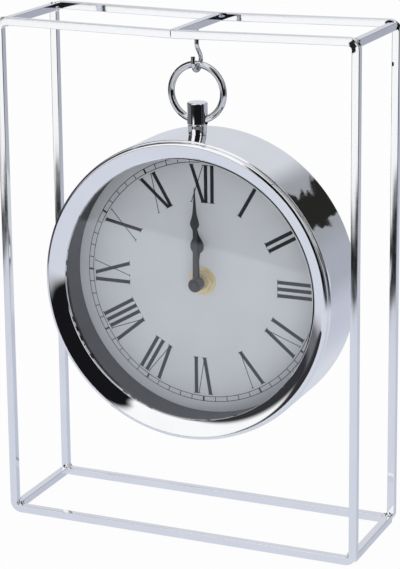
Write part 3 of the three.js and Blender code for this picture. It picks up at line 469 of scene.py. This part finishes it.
def wire_loop(name):
    """Square wire bent to a rectangle, with sagging top rail and a butt seam at its middle."""
    front = reach(name)[0].y
    middle = FRAME_HEIGHT / 2
    add(bpy.ops.mesh.primitive_plane_add, at=(0, front, middle), turn=(90, 0, 0), size=MM)
    stretch(FRAME_WIDTH, 1, FRAME_HEIGHT, (0, front, middle))
    pick("EDGE", lambda c: all(p.z > FRAME_HEIGHT - 1 for p in c))
    bpy.ops.mesh.subdivide(number_cuts=1)
    pick("VERT", lambda c: abs(c[0].x) < 1 and c[0].z > FRAME_HEIGHT - 1)
    move(z=-RAIL_SAG)
    pick("VERT", lambda c: abs(c[0].x) > 1)
    bpy.ops.mesh.bevel(offset=BEND_OUTSIDE * MM, segments=8, affect="VERTICES")
    everything()
    bpy.ops.mesh.inset(thickness=WIRE * MM, use_even_offset=True)
    inside = FRAME_WIDTH / 2 - WIRE / 2
    ceiling = FRAME_HEIGHT - RAIL_SAG - WIRE / 2
    pick("FACE", lambda c: all(abs(p.x) < inside and WIRE / 2 < p.z < ceiling for p in c))
    bpy.ops.mesh.delete(type="FACE")
    everything()
    pull(y=WIRE)
    clean()
    bevel_sharp(WIRE_EDGE, 3, 60)
    for side in (-1, 1):
        pick("FACE", lambda c: all(p.z > FRAME_HEIGHT - 3 * WIRE for p in c))
        bpy.ops.mesh.bisect(plane_co=mm(side * SEAM_WIDTH), plane_no=(1, 0, 0))
    pick("VERT", lambda c: abs(c[0].x) < SEAM_WIDTH / 2 and c[0].z > FRAME_HEIGHT - 3 * WIRE)
    stretch(1, 0.9, 0.9, (0, front + WIRE / 2, ceiling))
    settle(name, WIRE_CHROME, "frame", [name])


def weld_bead(x, y, z, width, height, seed):
    """Adds a lump of weld to the piece in hand."""
    bpy.ops.mesh.primitive_ico_sphere_add(subdivisions=3, radius=BEAD * MM, location=mm(x, y, z))
    stretch(width, 1, height, (x, y, z))
    bpy.ops.transform.vertex_random(offset=0.16 * MM, uniform=0.6, normal=0.4, seed=seed)


def cross_bar(name, beads):
    """Bar of the same wire between the loops, with weld beads in the corners at both ends."""
    low, high = reach(name)
    middle = (low + high) / 2
    size = high - low
    add(bpy.ops.mesh.primitive_cube_add, at=middle, size=MM)
    stretch(*size, middle)
    pick("EDGE", lambda c: abs(c[0].y - c[1].y) > 1)
    bevel(WIRE_EDGE, 3)
    for i, (dx, dz, width, height) in enumerate(beads):
        for end in (low.y + BEAD * 0.25, high.y - BEAD * 0.25):
            weld_bead(middle.x + dx, end, middle.z + dz, width, height, i + int(abs(end)))
    clean()
    settle(name, WIRE_CHROME, "frame", [name])


def hook():
    """Round wire: shank, a knee that leans back, a round bend and a short upright tip."""
    top = HANGER_LOW
    knee = top - HOOK_KNEE
    low = top - HOOK_DROP + HOOK_BEND
    lean = math.radians(HOOK_LEAN)
    knee_bend = HOOK_SOFT / math.tan(lean / 2)
    run = (knee - low) * math.sin(lean) - HOOK_SOFT
    add(bpy.ops.mesh.primitive_circle_add, at=(0, 0, top), radius=HOOK_RADIUS * MM, vertices=FINE // 2)
    everything("EDGE")
    pull(z=knee + HOOK_SOFT - top)
    bend(lean, (0, knee_bend, knee + HOOK_SOFT), 10)
    pull(y=run * math.sin(lean), z=-run * math.cos(lean))
    bend(-math.radians(180) - lean, (0, 0, low), 40)
    pull(z=HOOK_TIP)
    bpy.ops.mesh.edge_face_add()
    pick("VERT", lambda c: abs(c[0].z - top) < 0.01)
    bpy.ops.mesh.edge_face_add()
    clean()
    pick("EDGE", lambda c: all(abs(p.z - low - HOOK_TIP) < 0.01 and p.y < -HOOK_BEND / 2 for p in c))
    bevel(0.45, 3)
    settle("hook", PAINTED_DARK_RING_CHROME, "frame", ["hook"])


def bend(angle, centre, steps):
    """Sweeps the open end round a bend in the plane of the hook; spin turns left-handed."""
    bpy.ops.mesh.spin(steps=steps, angle=-angle, center=mm(*centre), axis=(1, 0, 0))


def bow():
    """Ring of round wire, its butted ends hidden in the stem's hole."""
    low, high = reach("bow")
    middle = (low + high) / 2
    start = math.radians(-90 + BOW_GAP / 2)
    place = (BOW_RADIUS * math.cos(start), 0, middle.z + BOW_RADIUS * math.sin(start))
    add(bpy.ops.mesh.primitive_circle_add, at=place, turn=(0, 90 - BOW_GAP / 2, 0),
        radius=BOW_WIRE * MM, vertices=FINE // 2)
    everything("EDGE")
    bpy.ops.mesh.spin(steps=ROUND, angle=math.radians(360 - BOW_GAP), center=mm(0, 0, middle.z), axis=(0, 1, 0))
    bpy.ops.mesh.edge_face_add()
    pick("VERT", lambda c: (c[0] - Vector(place)).length < BOW_WIRE + 0.01 and c[0].x > 0.05)
    bpy.ops.mesh.edge_face_add()
    clean()
    settle("bow", PAINTED_DARK_RING_CHROME, "bow", ["bow"])


for loop_name in ("front_loop", "rear_loop"):
    wire_loop(loop_name)
cross_bar("top_left_bar", [(1.9, -1.0, 0.8, 0.9), (-0.4, 1.7, 0.9, 0.5)])
cross_bar("top_right_bar", [(-1.9, -1.0, 0.8, 0.9), (0.4, 1.7, 0.9, 0.5)])
cross_bar("bottom_left_bar", [(1.7, 1.3, 0.9, 0.9), (0.2, 1.9, 1.1, 0.8)])
cross_bar("bottom_right_bar", [(-1.7, 1.3, 0.9, 0.9), (-0.2, 1.9, 1.1, 0.8)])
cross_bar("hanger_bar", [(-2.0, 0.9, 0.9, 0.6), (2.0, 0.9, 0.9, 0.6)])
hook()
bow()


# ---- Case

STEM_BASE = AXIS_Z + 79.4
STEM_RADIUS, STEM_HEIGHT, STEM_HOLE = 5.3, 16.5, 2.55
GLASS_EDGE, GLASS_FRONT, GLASS_BACK = 76.4, -16.1, -14.1
WALL_INSIDE, WALL_OUTSIDE = 71.5, 74.2
DIAL_BORE, DIAL_BACK = 4.3, 5.0
# Profiles of (radius, station) points
BEZEL_LIP = arc(69.606, -17.302, 0.3, 180, 214, 4) + arc(71.016, -16.351, 2.0, 217, 228.5, 4)
BEZEL_CROWN = arc(80.12, -6.06, 15.74, 230, 258.1, 18)
BEZEL_EDGE = arc(77.2, -19.9, 1.6, 262, 360, 12)


def stem():
    """Turned post with a cross hole for the bow and a stud into the case."""
    base = STEM_BASE
    top = base + STEM_HEIGHT
    turned([(0.0, base - 5), (2.0, base - 5), (2.0, base), (4.7, base), (5.0, base + 4.6), (4.85, base + 4.75),
            (4.85, base + 4.95), (5.15, base + 5.1), (STEM_RADIUS, base + 5.6), (STEM_RADIUS, top), (0.0, top)],
           "Z", steps=FINE * 2)
    pick("EDGE", lambda c: all(abs(p.z - top) < 0.01 and math.hypot(p.x, p.y) > STEM_RADIUS - 0.3 for p in c))
    bevel(0.6, 4)
    body = in_hand()
    hole = sum(corner.z for corner in reach("bow")) / 2 - BOW_RADIUS + 0.5
    add(bpy.ops.mesh.primitive_cylinder_add, at=(0, 0, hole), turn=(0, 90, 0), radius=STEM_HOLE * MM,
        depth=14 * MM, vertices=FINE)
    cut(body, in_hand())
    settle("stem", STEM_CHROME, "clock", ["stem"])


def drum():
    """Drum with a rounded front edge behind the bezel and a ledge at the back for the cover."""
    on_case([
        (78.2, -17.9), *arc(78.8, -17.3, 0.6, -90, 0, 4), *arc(78.4, 20.5, 1.0, 0, 90, 6), (78.2, 21.5),
        (78.2, 19.0), (71.9, 19.0), (71.9, 17.8), (78.2, 17.8), (78.2, -17.9)])
    settle("case_drum", DRUM_CHROME, "clock", ["case_drum"])


def bezel():
    """Spun ring: a rounded face that falls to a thin lip, a rolled edge, and a skirt inside the drum."""
    on_case([
        *BEZEL_LIP, *BEZEL_CROWN, *BEZEL_EDGE, *arc(78.5, -18.2, 0.3, 0, 90, 3), (78.1, -17.9), (78.1, -12.9),
        (76.7, -12.9), (76.7, -19.9), (73.0, -19.0), (69.3, GLASS_FRONT), BEZEL_LIP[0]], 2 * ROUND)
    settle("bezel", CASE_CHROME, "clock", ["bezel"])


def glass():
    on_case([(0.0, GLASS_FRONT), (GLASS_EDGE, GLASS_FRONT), (GLASS_EDGE, GLASS_BACK), (0.0, GLASS_BACK)])
    for station in (GLASS_FRONT, GLASS_BACK):
        ring_edge(GLASS_EDGE, station)
        bevel(0.25, 2)
    settle("glass", GLASS, "clock", ["glass"])


def front_ring():
    """Deep inner wall between glass and dial, with a flange behind the glass."""
    flange = GLASS_BACK + 4.0
    on_case([
        (WALL_INSIDE, GLASS_BACK), (GLASS_EDGE, GLASS_BACK), (GLASS_EDGE, flange), (WALL_OUTSIDE, flange),
        (WALL_OUTSIDE, DIAL_FRONT), (WALL_INSIDE, DIAL_FRONT), (WALL_INSIDE, GLASS_BACK)])
    for radius, station in ((WALL_INSIDE, GLASS_BACK), (GLASS_EDGE, flange), (WALL_INSIDE, DIAL_FRONT)):
        ring_edge(radius, station)
        bevel(0.25, 2)
    settle("front_spacer_ring", WALL_GREY, "clock", ["front_spacer_ring"])


def dial():
    on_case([
        (DIAL_BORE, DIAL_FRONT), (WALL_OUTSIDE, DIAL_FRONT), (WALL_OUTSIDE, DIAL_BACK), (DIAL_BORE, DIAL_BACK),
        (DIAL_BORE, DIAL_FRONT)])
    ring_edge(DIAL_BORE, DIAL_FRONT)
    bevel(0.12, 2)
    settle("dial", DIAL_CARD, "clock", ["dial"])


# ---- Dial print: railway minute track and Roman numerals, as thin raised ink

INK = 0.05
INK_FRONT = DIAL_FRONT - INK
TRACK_IN, TRACK_OUT = 63.4, 66.0
TRACK_LINE = 0.34
TICK, FIVE_TICK = 0.42, 1.05
NUMERAL_TOP, NUMERAL_FOOT = 62.2, 42.0
THICK, HAIR, SERIF = 1.95, 0.42, 0.32
PITCH = 3.55
# Strokes: foot and top places along the line of text, in pitches, and width
LETTERS = {
    "I": ([(0, 0, THICK)], 1.0),
    "V": ([(0.95, 0, THICK), (0.95, 1.9, HAIR)], 2.3),
    "W": ([(0.95, 0, HAIR), (0.95, 1.9, THICK)], 2.3),
    "X": ([(1.9, 0, THICK), (0, 1.9, HAIR)], 2.3),
}
HOURS = ["XII", "I", "II", "III", "IW", "V", "VI", "VII", "VIII", "IX", "X", "XI"]


def stroke(foot_x, top_x, foot, top, width):
    """Adds a slanted stroke with level ends to the print in hand; it stands upright at twelve."""
    height = top - foot
    bpy.ops.mesh.primitive_plane_add(size=MM, location=mm(foot_x, INK_FRONT, foot + height / 2),
                                     rotation=(math.radians(90), 0, 0))
    stretch(width, 1, height, (foot_x, INK_FRONT, foot + height / 2))
    if abs(top_x - foot_x) > 1e-6:
        mesh = bmesh.from_edit_mesh(bpy.context.object.data)
        for vertex in mesh.verts:
            if vertex.select and vertex.co.z / MM < top - height / 2:
                vertex.select_set(False)
        mesh.select_flush_mode()
        move(x=top_x - foot_x)


def numeral(hour, text):
    """One hour's numeral, drawn upright at twelve and turned to its place, feet to the centre."""
    places, x = [], 0.0
    for letter in text:
        strokes, advance = LETTERS[letter]
        places += [(x + f, x + t, w) for f, t, w in strokes]
        x += advance
    left = min(min(f, t) for f, t, w in places)
    right = max(max(f, t) for f, t, w in places)
    middle = (left + right) / 2
    add(bpy.ops.mesh.primitive_plane_add, size=MM)
    everything()
    bpy.ops.mesh.delete(type="VERT")
    for f, t, w in places:
        fx, tx = (f - middle) * PITCH, (t - middle) * PITCH
        stroke(fx, tx, NUMERAL_FOOT, NUMERAL_TOP, w)
        for end, level in ((fx, NUMERAL_FOOT), (tx, NUMERAL_TOP - SERIF)):
            stroke(end, end, level, level + SERIF, w + 1.1)
    everything()
    pull(y=INK)
    everything()
    bpy.ops.mesh.normals_make_consistent(inside=False)
    piece = in_hand()
    piece.rotation_euler = (0, math.radians(30 * hour), 0)
    piece.location = mm(0, 0, AXIS_Z)
    bpy.ops.object.transform_apply(location=True, rotation=True, scale=True)
    return piece


def minute_track():
    """Two fine circles and sixty ticks, every fifth one heavier."""
    rings = []
    for radius in (TRACK_IN, TRACK_OUT):
        inner, outer = radius - TRACK_LINE / 2, radius + TRACK_LINE / 2
        rings.append(on_case([(inner, INK_FRONT), (outer, INK_FRONT), (outer, DIAL_FRONT),
                              (inner, DIAL_FRONT), (inner, INK_FRONT)], 180))
    ticks = []
    middle = (0, DIAL_FRONT - INK / 2, AXIS_Z + (TRACK_IN + TRACK_OUT) / 2)
    for width, count in ((TICK, 60), (FIVE_TICK, 12)):
        add(bpy.ops.mesh.primitive_cube_add, at=middle, size=MM)
        stretch(width, INK, TRACK_OUT - TRACK_IN, middle)
        everything()
        bpy.ops.mesh.spin(steps=count, dupli=True, angle=2 * math.pi, center=mm(0, 0, AXIS_Z), axis=(0, 1, 0))
        everything()
        bpy.ops.mesh.remove_doubles(threshold=1e-6)
        ticks.append(bpy.context.object)
    joined(*rings, *ticks)
    settle("minute_track", DIAL_INK, "clock")


stem()
drum()
bezel()
glass()
front_ring()
dial()
minute_track()
joined(*[numeral(hour, text) for hour, text in enumerate(HOURS)])
settle("numerals", DIAL_INK, "clock")


# ---- Hands and the fastening at the dial's centre

HAND_THICKNESS = 0.5
HAND_ROOT, HAND_NECK, HAND_TIP = 2.8, 2.1, 0.4
HUB_RADIUS, HUB_HALF = 3.6, 1.2
# Height above the widest place and half width there, as shares of the widest half
HOUR_SPADE = [
    (-0.95, 0.45), (-0.72, 0.76), (-0.38, 0.95), (0, 1), (0.38, 0.95), (0.68, 0.82), (0.95, 0.66),
    (1.32, 0.44), (1.66, 0.25), (2.1, 0.14)]
MINUTE_SPADE = [
    (-1.5, 0.4), (-1.05, 0.56), (-0.58, 0.84), (0, 1), (0.58, 0.86), (1.2, 0.67), (2.1, 0.44),
    (3.6, 0.3), (5, 0.22)]


def spade_hand(name, body, plane, length, at, half, stations, bore):
    """Stamped spade hand: its outline is pulled out edge by edge, then thickened and set on its hub."""
    steps = [(HAND_NECK / 2, at - 2 * half)]
    steps += [(share * half, at + rise * half) for rise, share in stations]
    steps.append((HAND_TIP / 2, length - HAND_TIP))
    first = 1.0
    add(bpy.ops.mesh.primitive_plane_add, at=(0, plane, AXIS_Z + first / 2), turn=(90, 0, 0), size=MM)
    stretch(HAND_ROOT, 1, first, (0, plane, AXIS_Z + first / 2))
    height, wide = first, HAND_ROOT / 2
    pick("EDGE", lambda c: all(p.z > AXIS_Z + first - 0.01 for p in c))
    for half_width, rise in steps:
        pull(z=rise - height)
        stretch(half_width / wide, 1, 1, (0, plane, AXIS_Z + rise))
        height, wide = rise, half_width
    pull(z=length - height)
    bpy.ops.mesh.merge(type="CENTER")
    clean()
    modify("SOLIDIFY", thickness=HAND_THICKNESS * MM, offset=0.0)
    bpy.ops.object.mode_set(mode="EDIT")
    clean()
    bevel_sharp(0.1, 2, 60)
    blade = in_hand()
    front, back = plane - HUB_HALF, plane + HUB_HALF
    hub = on_case([(bore, front), (HUB_RADIUS, front), (HUB_RADIUS, back), (bore, back), (bore, front)], FINE)
    for station in (front, back):
        ring_edge(HUB_RADIUS, station)
        bevel(0.35, 3)
    joined(blade, hub)
    settle(name, HAND_BLACK, body, [name])


def hand_cap():
    on_case([
        (0.0, -6.4), (2.2, -6.4), (2.2, -6.95), *arc(1.45, -6.95, 0.75, 0, -90, 6), (0.8, -7.7), (0.0, -7.7)], FINE)
    settle("hand_cap", HAND_BLACK, "minute", ["hand_cap"])


def brass_washer():
    on_case([(4.1, 3.7), (7.5, 3.7), (7.5, 4.2), (4.1, 4.2), (4.1, 3.7)], FINE * 2)
    ring_edge(7.5, 3.7)
    bevel(0.15, 2)
    settle("brass_washer", BRASS, "clock", ["brass_washer"])


def brass_nut():
    """Hexagon nut, its corners chamfered at the front."""
    width = 11.0
    add(bpy.ops.mesh.primitive_cylinder_add, at=(0, 2.6, AXIS_Z), turn=(90, 30, 0), vertices=6,
        radius=width / math.sqrt(3) * MM, depth=2.2 * MM)
    nut = in_hand()
    cut(nut, on_case([(0.0, 1.4), (5.1, 1.4), (6.6, 2.2), (6.6, 3.8), (0.0, 3.8)], FINE), "INTERSECT")
    cut(nut, on_case([(0.0, 0.0), (4.1, 0.0), (4.1, 6.0), (0.0, 6.0)], FINE))
    settle("brass_nut", BRASS, "clock", ["brass_nut"])


spade_hand("hour_hand", "hour", -2.4, 29.5, 20.3, 3.8, HOUR_SPADE, 2.2)
spade_hand("minute_hand", "minute", -5.2, 52.0, 32.8, 2.6, MINUTE_SPADE, 1.3)
hand_cap()
brass_washer()
brass_nut()


# ---- Back: cover, screws, movement's rear shell, cell and set knob

SCREW_PLACE = 75.6 / math.sqrt(2)
CELL_PLACE = (0, 14.1, AXIS_Z - 19.5)
KNOB_PLACE = (-10.01, 20.0, AXIS_Z + 11.72)
KNOB_FLUTES = 14


def block(low, high, round_along_y=0.0):
    """Opens a box between two corners, its edges along Y rounded."""
    middle = [(a + b) / 2 for a, b in zip(low, high)]
    add(bpy.ops.mesh.primitive_cube_add, at=middle, size=MM)
    stretch(*(b - a for a, b in zip(low, high)), middle)
    if round_along_y:
        pick("EDGE", lambda c: abs(c[0].y - c[1].y) > 0.1)
        bevel(round_along_y, 6)
    return in_hand()


def bored(piece, x, z, radius, front, back):
    """Bores a round hole or pocket along Y."""
    add(bpy.ops.mesh.primitive_cylinder_add, at=(x, (front + back) / 2, z), turn=(90, 0, 0), radius=radius * MM,
        depth=(back - front) * MM, vertices=FINE)
    return cut(piece, in_hand())


def rounded_edges(piece, width):
    """Rounds the sharp edges that the cuts left."""
    hold(piece)
    bpy.ops.object.mode_set(mode="EDIT")
    clean()
    bevel_sharp(width)
    object_mode()


def back_cover():
    """Pressed disc with a square window round the movement and four screw holes."""
    disc = on_case([(0.0, 19.0), (77.8, 19.0), (77.8, 20.2), (77.5, 20.5), (0.0, 20.5)])
    cut(disc, block((-28.4, 18, AXIS_Z - 28.4), (28.4, 22, AXIS_Z + 28.4), 3.0))
    for x, z in ((1, 1), (-1, 1), (-1, -1), (1, -1)):
        bored(disc, x * SCREW_PLACE, AXIS_Z + z * SCREW_PLACE, 1.2, 18, 22)
    settle("back_cover", COVER_GREY, "clock", ["back_cover"])


def cover_screw():
    """Pan head with a cross recess, at the first of the four places."""
    x, z = SCREW_PLACE, AXIS_Z + SCREW_PLACE
    turned([(0.0, 16.5), (1.1, 17.6), (1.1, 20.5), (2.1, 20.5), (2.1, 20.7), *arc(1.3, 20.6, 0.8, 10, 90, 6),
            (0.0, 21.4)], "Y", (x, 0, z), FINE)
    screw = in_hand()
    for wide, high in ((2.5, 0.5), (0.5, 2.5)):
        cut(screw, block((x - wide / 2, 20.85, z - high / 2), (x + wide / 2, 22, z + high / 2)))
    return screw


def copied_round(piece, angle):
    """A copy with its own mesh, turned round the clock's axis."""
    copy = piece.copy()
    copy.data = piece.data.copy()
    bpy.context.scene.collection.objects.link(copy)
    hold(copy)
    turn = Matrix.Rotation(math.radians(angle), 4, "Y")
    centre = Matrix.Translation(mm(0, 0, AXIS_Z))
    copy.matrix_world = centre @ turn @ centre.inverted()
    bpy.ops.object.transform_apply(location=True, rotation=True, scale=True)
    return copy


def cover_screws():
    first = cover_screw()
    pieces = [first] + [copied_round(first, angle) for angle in (-90, -180, -270)]
    for i, piece in enumerate(pieces):
        hold(piece)
        settle(f"cover_screw_{i + 1}", STEEL, "clock", [f"cover_screw_{i + 1}"])


def movement_rear():
    """Moulded rear shell: open to the front, with the cell's bay and a round pocket for the set knob."""
    z = AXIS_Z
    shell = block((-28, 13.4, z - 28), (28, 21.3, z + 28), 3.0)
    cut(shell, block((-26.7, 12, z - 26.7), (26.7, 20.0, z + 26.7), 1.7))
    cut(shell, block((-26.7, 13.4, z - 12.3), (26.7, 20.4, z - 11.1)), "UNION")
    cup = on_case([(0.0, 17.3), (7.2, 17.3), (7.2, 20.4), (0.0, 20.4)], FINE)
    cup.location = mm(KNOB_PLACE[0], 0, KNOB_PLACE[2] - z)
    cut(shell, cup, "UNION")
    cut(shell, block((-26.7, 12, z - 25.2), (26.7, 23, z - 12.3), 1.0))
    bored(shell, KNOB_PLACE[0], KNOB_PLACE[2], 6.0, 18.6, 23)
    bored(shell, KNOB_PLACE[0], KNOB_PLACE[2], 2.0, 16, 19)
    rounded_edges(shell, 0.3)
    settle("movement_rear", HOUSING, "clock", ["movement_rear"])


def battery():
    """AA cell: jacket rolled over both ends, and the positive nub."""
    turned([
        (0.0, -24.4), (5.0, -24.4), (5.3, -24.1), (6.2, -24.1), *arc(6.5, -23.9, 0.5, 250, 360, 4), (7.0, -21.6),
        (6.93, -21.4), (7.0, -21.2), (7.0, 23.9), *arc(6.5, 24.4, 0.5, 0, 110, 4), (6.1, 24.5), (3.6, 24.4),
        (2.7, 24.7), (2.7, 25.6), (2.4, 25.9), (0.0, 25.9)], "X", CELL_PLACE, FINE)
    settle("battery", CELL_JACKET, "clock", ["battery"])


def set_knob():
    """Fluted thumb knob, its end dished."""
    x, y, z = KNOB_PLACE
    add(bpy.ops.mesh.primitive_cylinder_add, at=KNOB_PLACE, turn=(90, 0, 0), radius=5.2 * MM, depth=2.2 * MM,
        vertices=KNOB_FLUTES * 6)
    part = 360 / (KNOB_FLUTES * 6)

    def in_flute(c):
        place = math.degrees(math.atan2(c[0].z - z, c[0].x - x)) / part
        return round(place) % 6 in (0, 1)

    pick("VERT", in_flute)
    stretch(0.93, 1, 0.93, KNOB_PLACE)
    pick("FACE", lambda c: all(p.y > 21 for p in c), facing=(0, 1, 0))
    bpy.ops.mesh.inset(thickness=1.3 * MM)
    move(y=-0.45)
    bevel_sharp(0.18, 2, 60)
    settle("set_knob", HOUSING, "setting", ["set_knob"])


back_cover()
cover_screws()
movement_rear()
battery()
set_knob()


# ---- Inner pieces that keep their CAD shape

KEPT = [
    (STEEL, "stem_nut rotor stator quartz_crystal contact_positive contact_negative"),
    (BRASS, "hand_bush minute_cannon"),
    (GEAR_WHITE, "hour_wheel motion_wheel setting_wheel seconds_wheel third_wheel centre_wheel intermediate_wheel"),
    (WALL_GREY, "rear_spacer_ring"),
    (HOUSING, "movement_front"),
    (RUBBER, "rubber_washer"),
    (COPPER, "coil"),
    (BOARD_GREEN, "circuit_board"),
]
for look, nodes in KEPT:
    for node in nodes.split():
        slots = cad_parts[node].data.materials
        slots.clear()
        slots.append(look)


# ---- Studio

def studio_floor():
    """Pale floor: near white to the camera, keeping a soft shadow."""
    add(bpy.ops.mesh.primitive_plane_add, at=(0, 0, 0), size=6.0)
    floor = in_hand()
    floor.name = "floor"

    def paint(tree, place):
        mottle = tree.noise(place, 3.0, 2.0)
        card = tree.node("ShaderNodeBsdfDiffuse", {}, {
            "Color": tree.blend(mottle, rgb(0.90, 0.90, 0.91), rgb(0.93, 0.93, 0.94))})
        white = tree.node("ShaderNodeEmission", {}, {"Color": rgb(1, 1, 1), "Strength": 1.0})
        seen = tree.node("ShaderNodeLightPath", output="Is Camera Ray") * 0.95
        return tree.node("ShaderNodeMixShader", {}, {0: seen, 1: card, 2: white})

    floor.data.materials.append(finish("floor_card", paint))
    floor.visible_glossy = False


MIRROR_BLACK = rgb(0.008, 0.008, 0.010)
CURTAIN_BLACK = rgb(0.035, 0.035, 0.04)
SOFT_BLACK = rgb(0.02, 0.02, 0.024)
PATCH_BLACK = rgb(0.02, 0.02, 0.018)
DEGREES = 180 / math.pi
# Bearing from straight ahead of the clock, and the height there, in degrees
FLOOR_EDGE = [
    (-60, -13.6), (-40, -14.2), (-34.5, -15.7), (-31, -15.4), (-29, -15.0), (-27.7, -14.6), (-21, -16.3),
    (-19.5, -16.8), (-18.4, -16.5), (-12, -16.0), (0, -14.9), (20, -15.3), (60, -15.5)]
DARK_TOP = [
    (-29, -13.75), (-28.6, -12.6), (-26.5, -12.6), (-21, -13.9), (-20, -14.6), (-19.1, -14.6), (-18.8, -13.4),
    (-16, -13.0), (-11, 3.0), (0, 32.0), (25, 68.0), (60, 66.0)]


def behind_clock(tree, way, y, rear, rise, room):
    """Adds the wall and floor behind the clock to the room, with a ragged dark patch that the drum mirrors."""
    back = tree.between(y, 0.3, 0.55)
    wall = tree.blend(tree.between(rear, 0.0, 9.7), rgb(0.66, 0.68, 0.73), rgb(0.34, 0.355, 0.385))
    lower = tree.blend(tree.between(rise, -19.0, -9.0), rgb(0.53, 0.56, 0.66), rgb(0.40, 0.42, 0.49))
    lower = tree.blend(tree.between(rear, -10.0, 10.0), rgb(0.66, 0.69, 0.76), lower)
    room = tree.blend(back, room, tree.blend(tree.between(rise, -4.0, 6.0), lower, wall))
    ragged = rise + tree.noise(tree.stretched(way, 0, 420, 5), 1.0, 2.0, 0.6) * 15.0 - 7.5
    patch = tree.band(rear, 6.0, 8.2, 20.2, 22.5) * tree.band(ragged, 5.2, 6.1, 16.1, 16.9) * back
    return tree.blend(patch, room, PATCH_BLACK)


def mirrored_room(tree):
    """What the chrome mirrors: pale floor, bright walls, and dark sides by the camera and to the left."""
    way = tree.node("ShaderNodeTexCoord", output="Generated")
    x, y, z = (tree.node("ShaderNodeSeparateXYZ", {}, {0: way}, axis) for axis in "XYZ")
    front = tree.sum("ARCTAN2", x, 0 - y) * DEGREES
    rear = tree.sum("ARCTAN2", x, y) * DEGREES
    rise = tree.sum("ARCSINE", z) * DEGREES
    blur = (tree.between(front, -34.0, -30.0, 0.1, 0.35) + tree.between(front, -13.0, 4.0, 0.0, 3.4)
            + tree.between(front, -58.0, -46.0, 3.4, 0.0))
    above = tree.between((rise - tree.curve(front, FLOOR_EDGE)) / blur, -1.0, 1.0)
    softness = tree.between(front, -16.5, -12.0, 0.35, 6.0)
    under = tree.between((tree.curve(front, DARK_TOP) - rise) / softness, -1.0, 1.0)
    gap = tree.band(front, 56.0, 59.0, 72.0, 75.0) * tree.between(rise, 0.0, 6.0)
    dark = above * under * (tree.band(front, -34.0, -31.0, 84.0, 104.0) * (1.0 - gap))
    left_low = tree.band(front, -150.0, -130.0, -32.0, -29.5) * above * tree.between(rise, -1.0, 3.0, 1.0, 0.0)
    left_high = tree.band(front, -150.0, -130.0, -60.0, -44.0) * tree.band(rise, -7.0, -2.0, 60.0, 76.0)
    middle = tree.band(front, -36.0, -32.0, -12.0, -8.0) * tree.band(rise, -7.6, -6.8, 0.0, 3.0)
    right = tree.between(front, 60.0, 90.0) * tree.between(rise, 0.0, 30.0, 1.0, 0.0) * above
    side_wall = tree.blend(tree.between(front, 78.0, 122.0), SOFT_BLACK, rgb(0.33, 0.34, 0.38))
    curtain = tree.blend(tree.between(front, -62.0, -50.0), rgb(0.15, 0.15, 0.17), rgb(0.03, 0.03, 0.034))
    room = tree.blend(above, rgb(0.66, 0.69, 0.78), rgb(0.99, 0.99, 1.0))
    room = behind_clock(tree, way, y, rear, rise, tree.blend(right, room, side_wall))
    for share, colour in ((left_low, curtain), (left_high, CURTAIN_BLACK), (middle, SOFT_BLACK), (dark, MIRROR_BLACK)):
        room = tree.blend(share, room, colour)
    return room


def studio_world():
    """White to the camera, an even grey light on matt pieces, and the painted room for mirrored rays."""
    world = bpy.data.worlds.new("studio")
    bpy.context.scene.world = world
    tree = Tree(world)
    seen, glossy, through = (
        tree.node("ShaderNodeLightPath", output=f"Is {kind} Ray") for kind in ("Camera", "Glossy", "Transmission"))
    plain = tree.blend(seen, rgb(0.72, 0.73, 0.76), rgb(1, 1, 1))
    colour = tree.blend(tree.sum("MAXIMUM", glossy, through), plain, mirrored_room(tree))
    tree.node("ShaderNodeOutputWorld", {}, {
        "Surface": tree.node("ShaderNodeBackground", {}, {"Color": colour, "Strength": 1.0})})


def studio_lamp(name, at, look_at, size, power):
    lamp = bpy.data.lights.new(name, "AREA")
    lamp.energy, lamp.size = power, size
    holder = bpy.data.objects.new(name, lamp)
    bpy.context.scene.collection.objects.link(holder)
    holder.location = mm(*at)
    holder.rotation_euler = (Vector(mm(*look_at)) - holder.location).to_track_quat("-Z", "Y").to_euler()
    holder.visible_glossy = False


def studio_camera():
    """Camera at the photograph's place: long lens, a little above and to the right."""
    made = bpy.data.cameras.new("camera")
    made.lens, made.sensor_width = 133.68, 36.0
    made.shift_y = -0.18
    holder = bpy.data.objects.new("camera", made)
    bpy.context.scene.collection.objects.link(holder)
    right = Vector((0.91617301, 0.4006517, -0.01025829))
    up = Vector((-0.08281246, 0.21428702, 0.97325391))
    ahead = Vector((-0.39213405, 0.89081945, -0.22950294))
    place = Matrix((right, up, -ahead)).transposed().to_4x4()
    place.translation = mm(427.543, -968.980, 433.369)
    holder.matrix_world = place
    bpy.context.scene.camera = holder


studio_floor()
studio_world()
studio_lamp("key", (400, -890, 60), (0, 0, 130), 0.7, 5.6)
studio_camera()
bpy.context.scene.view_settings.view_transform = "Standard"

object_mode()
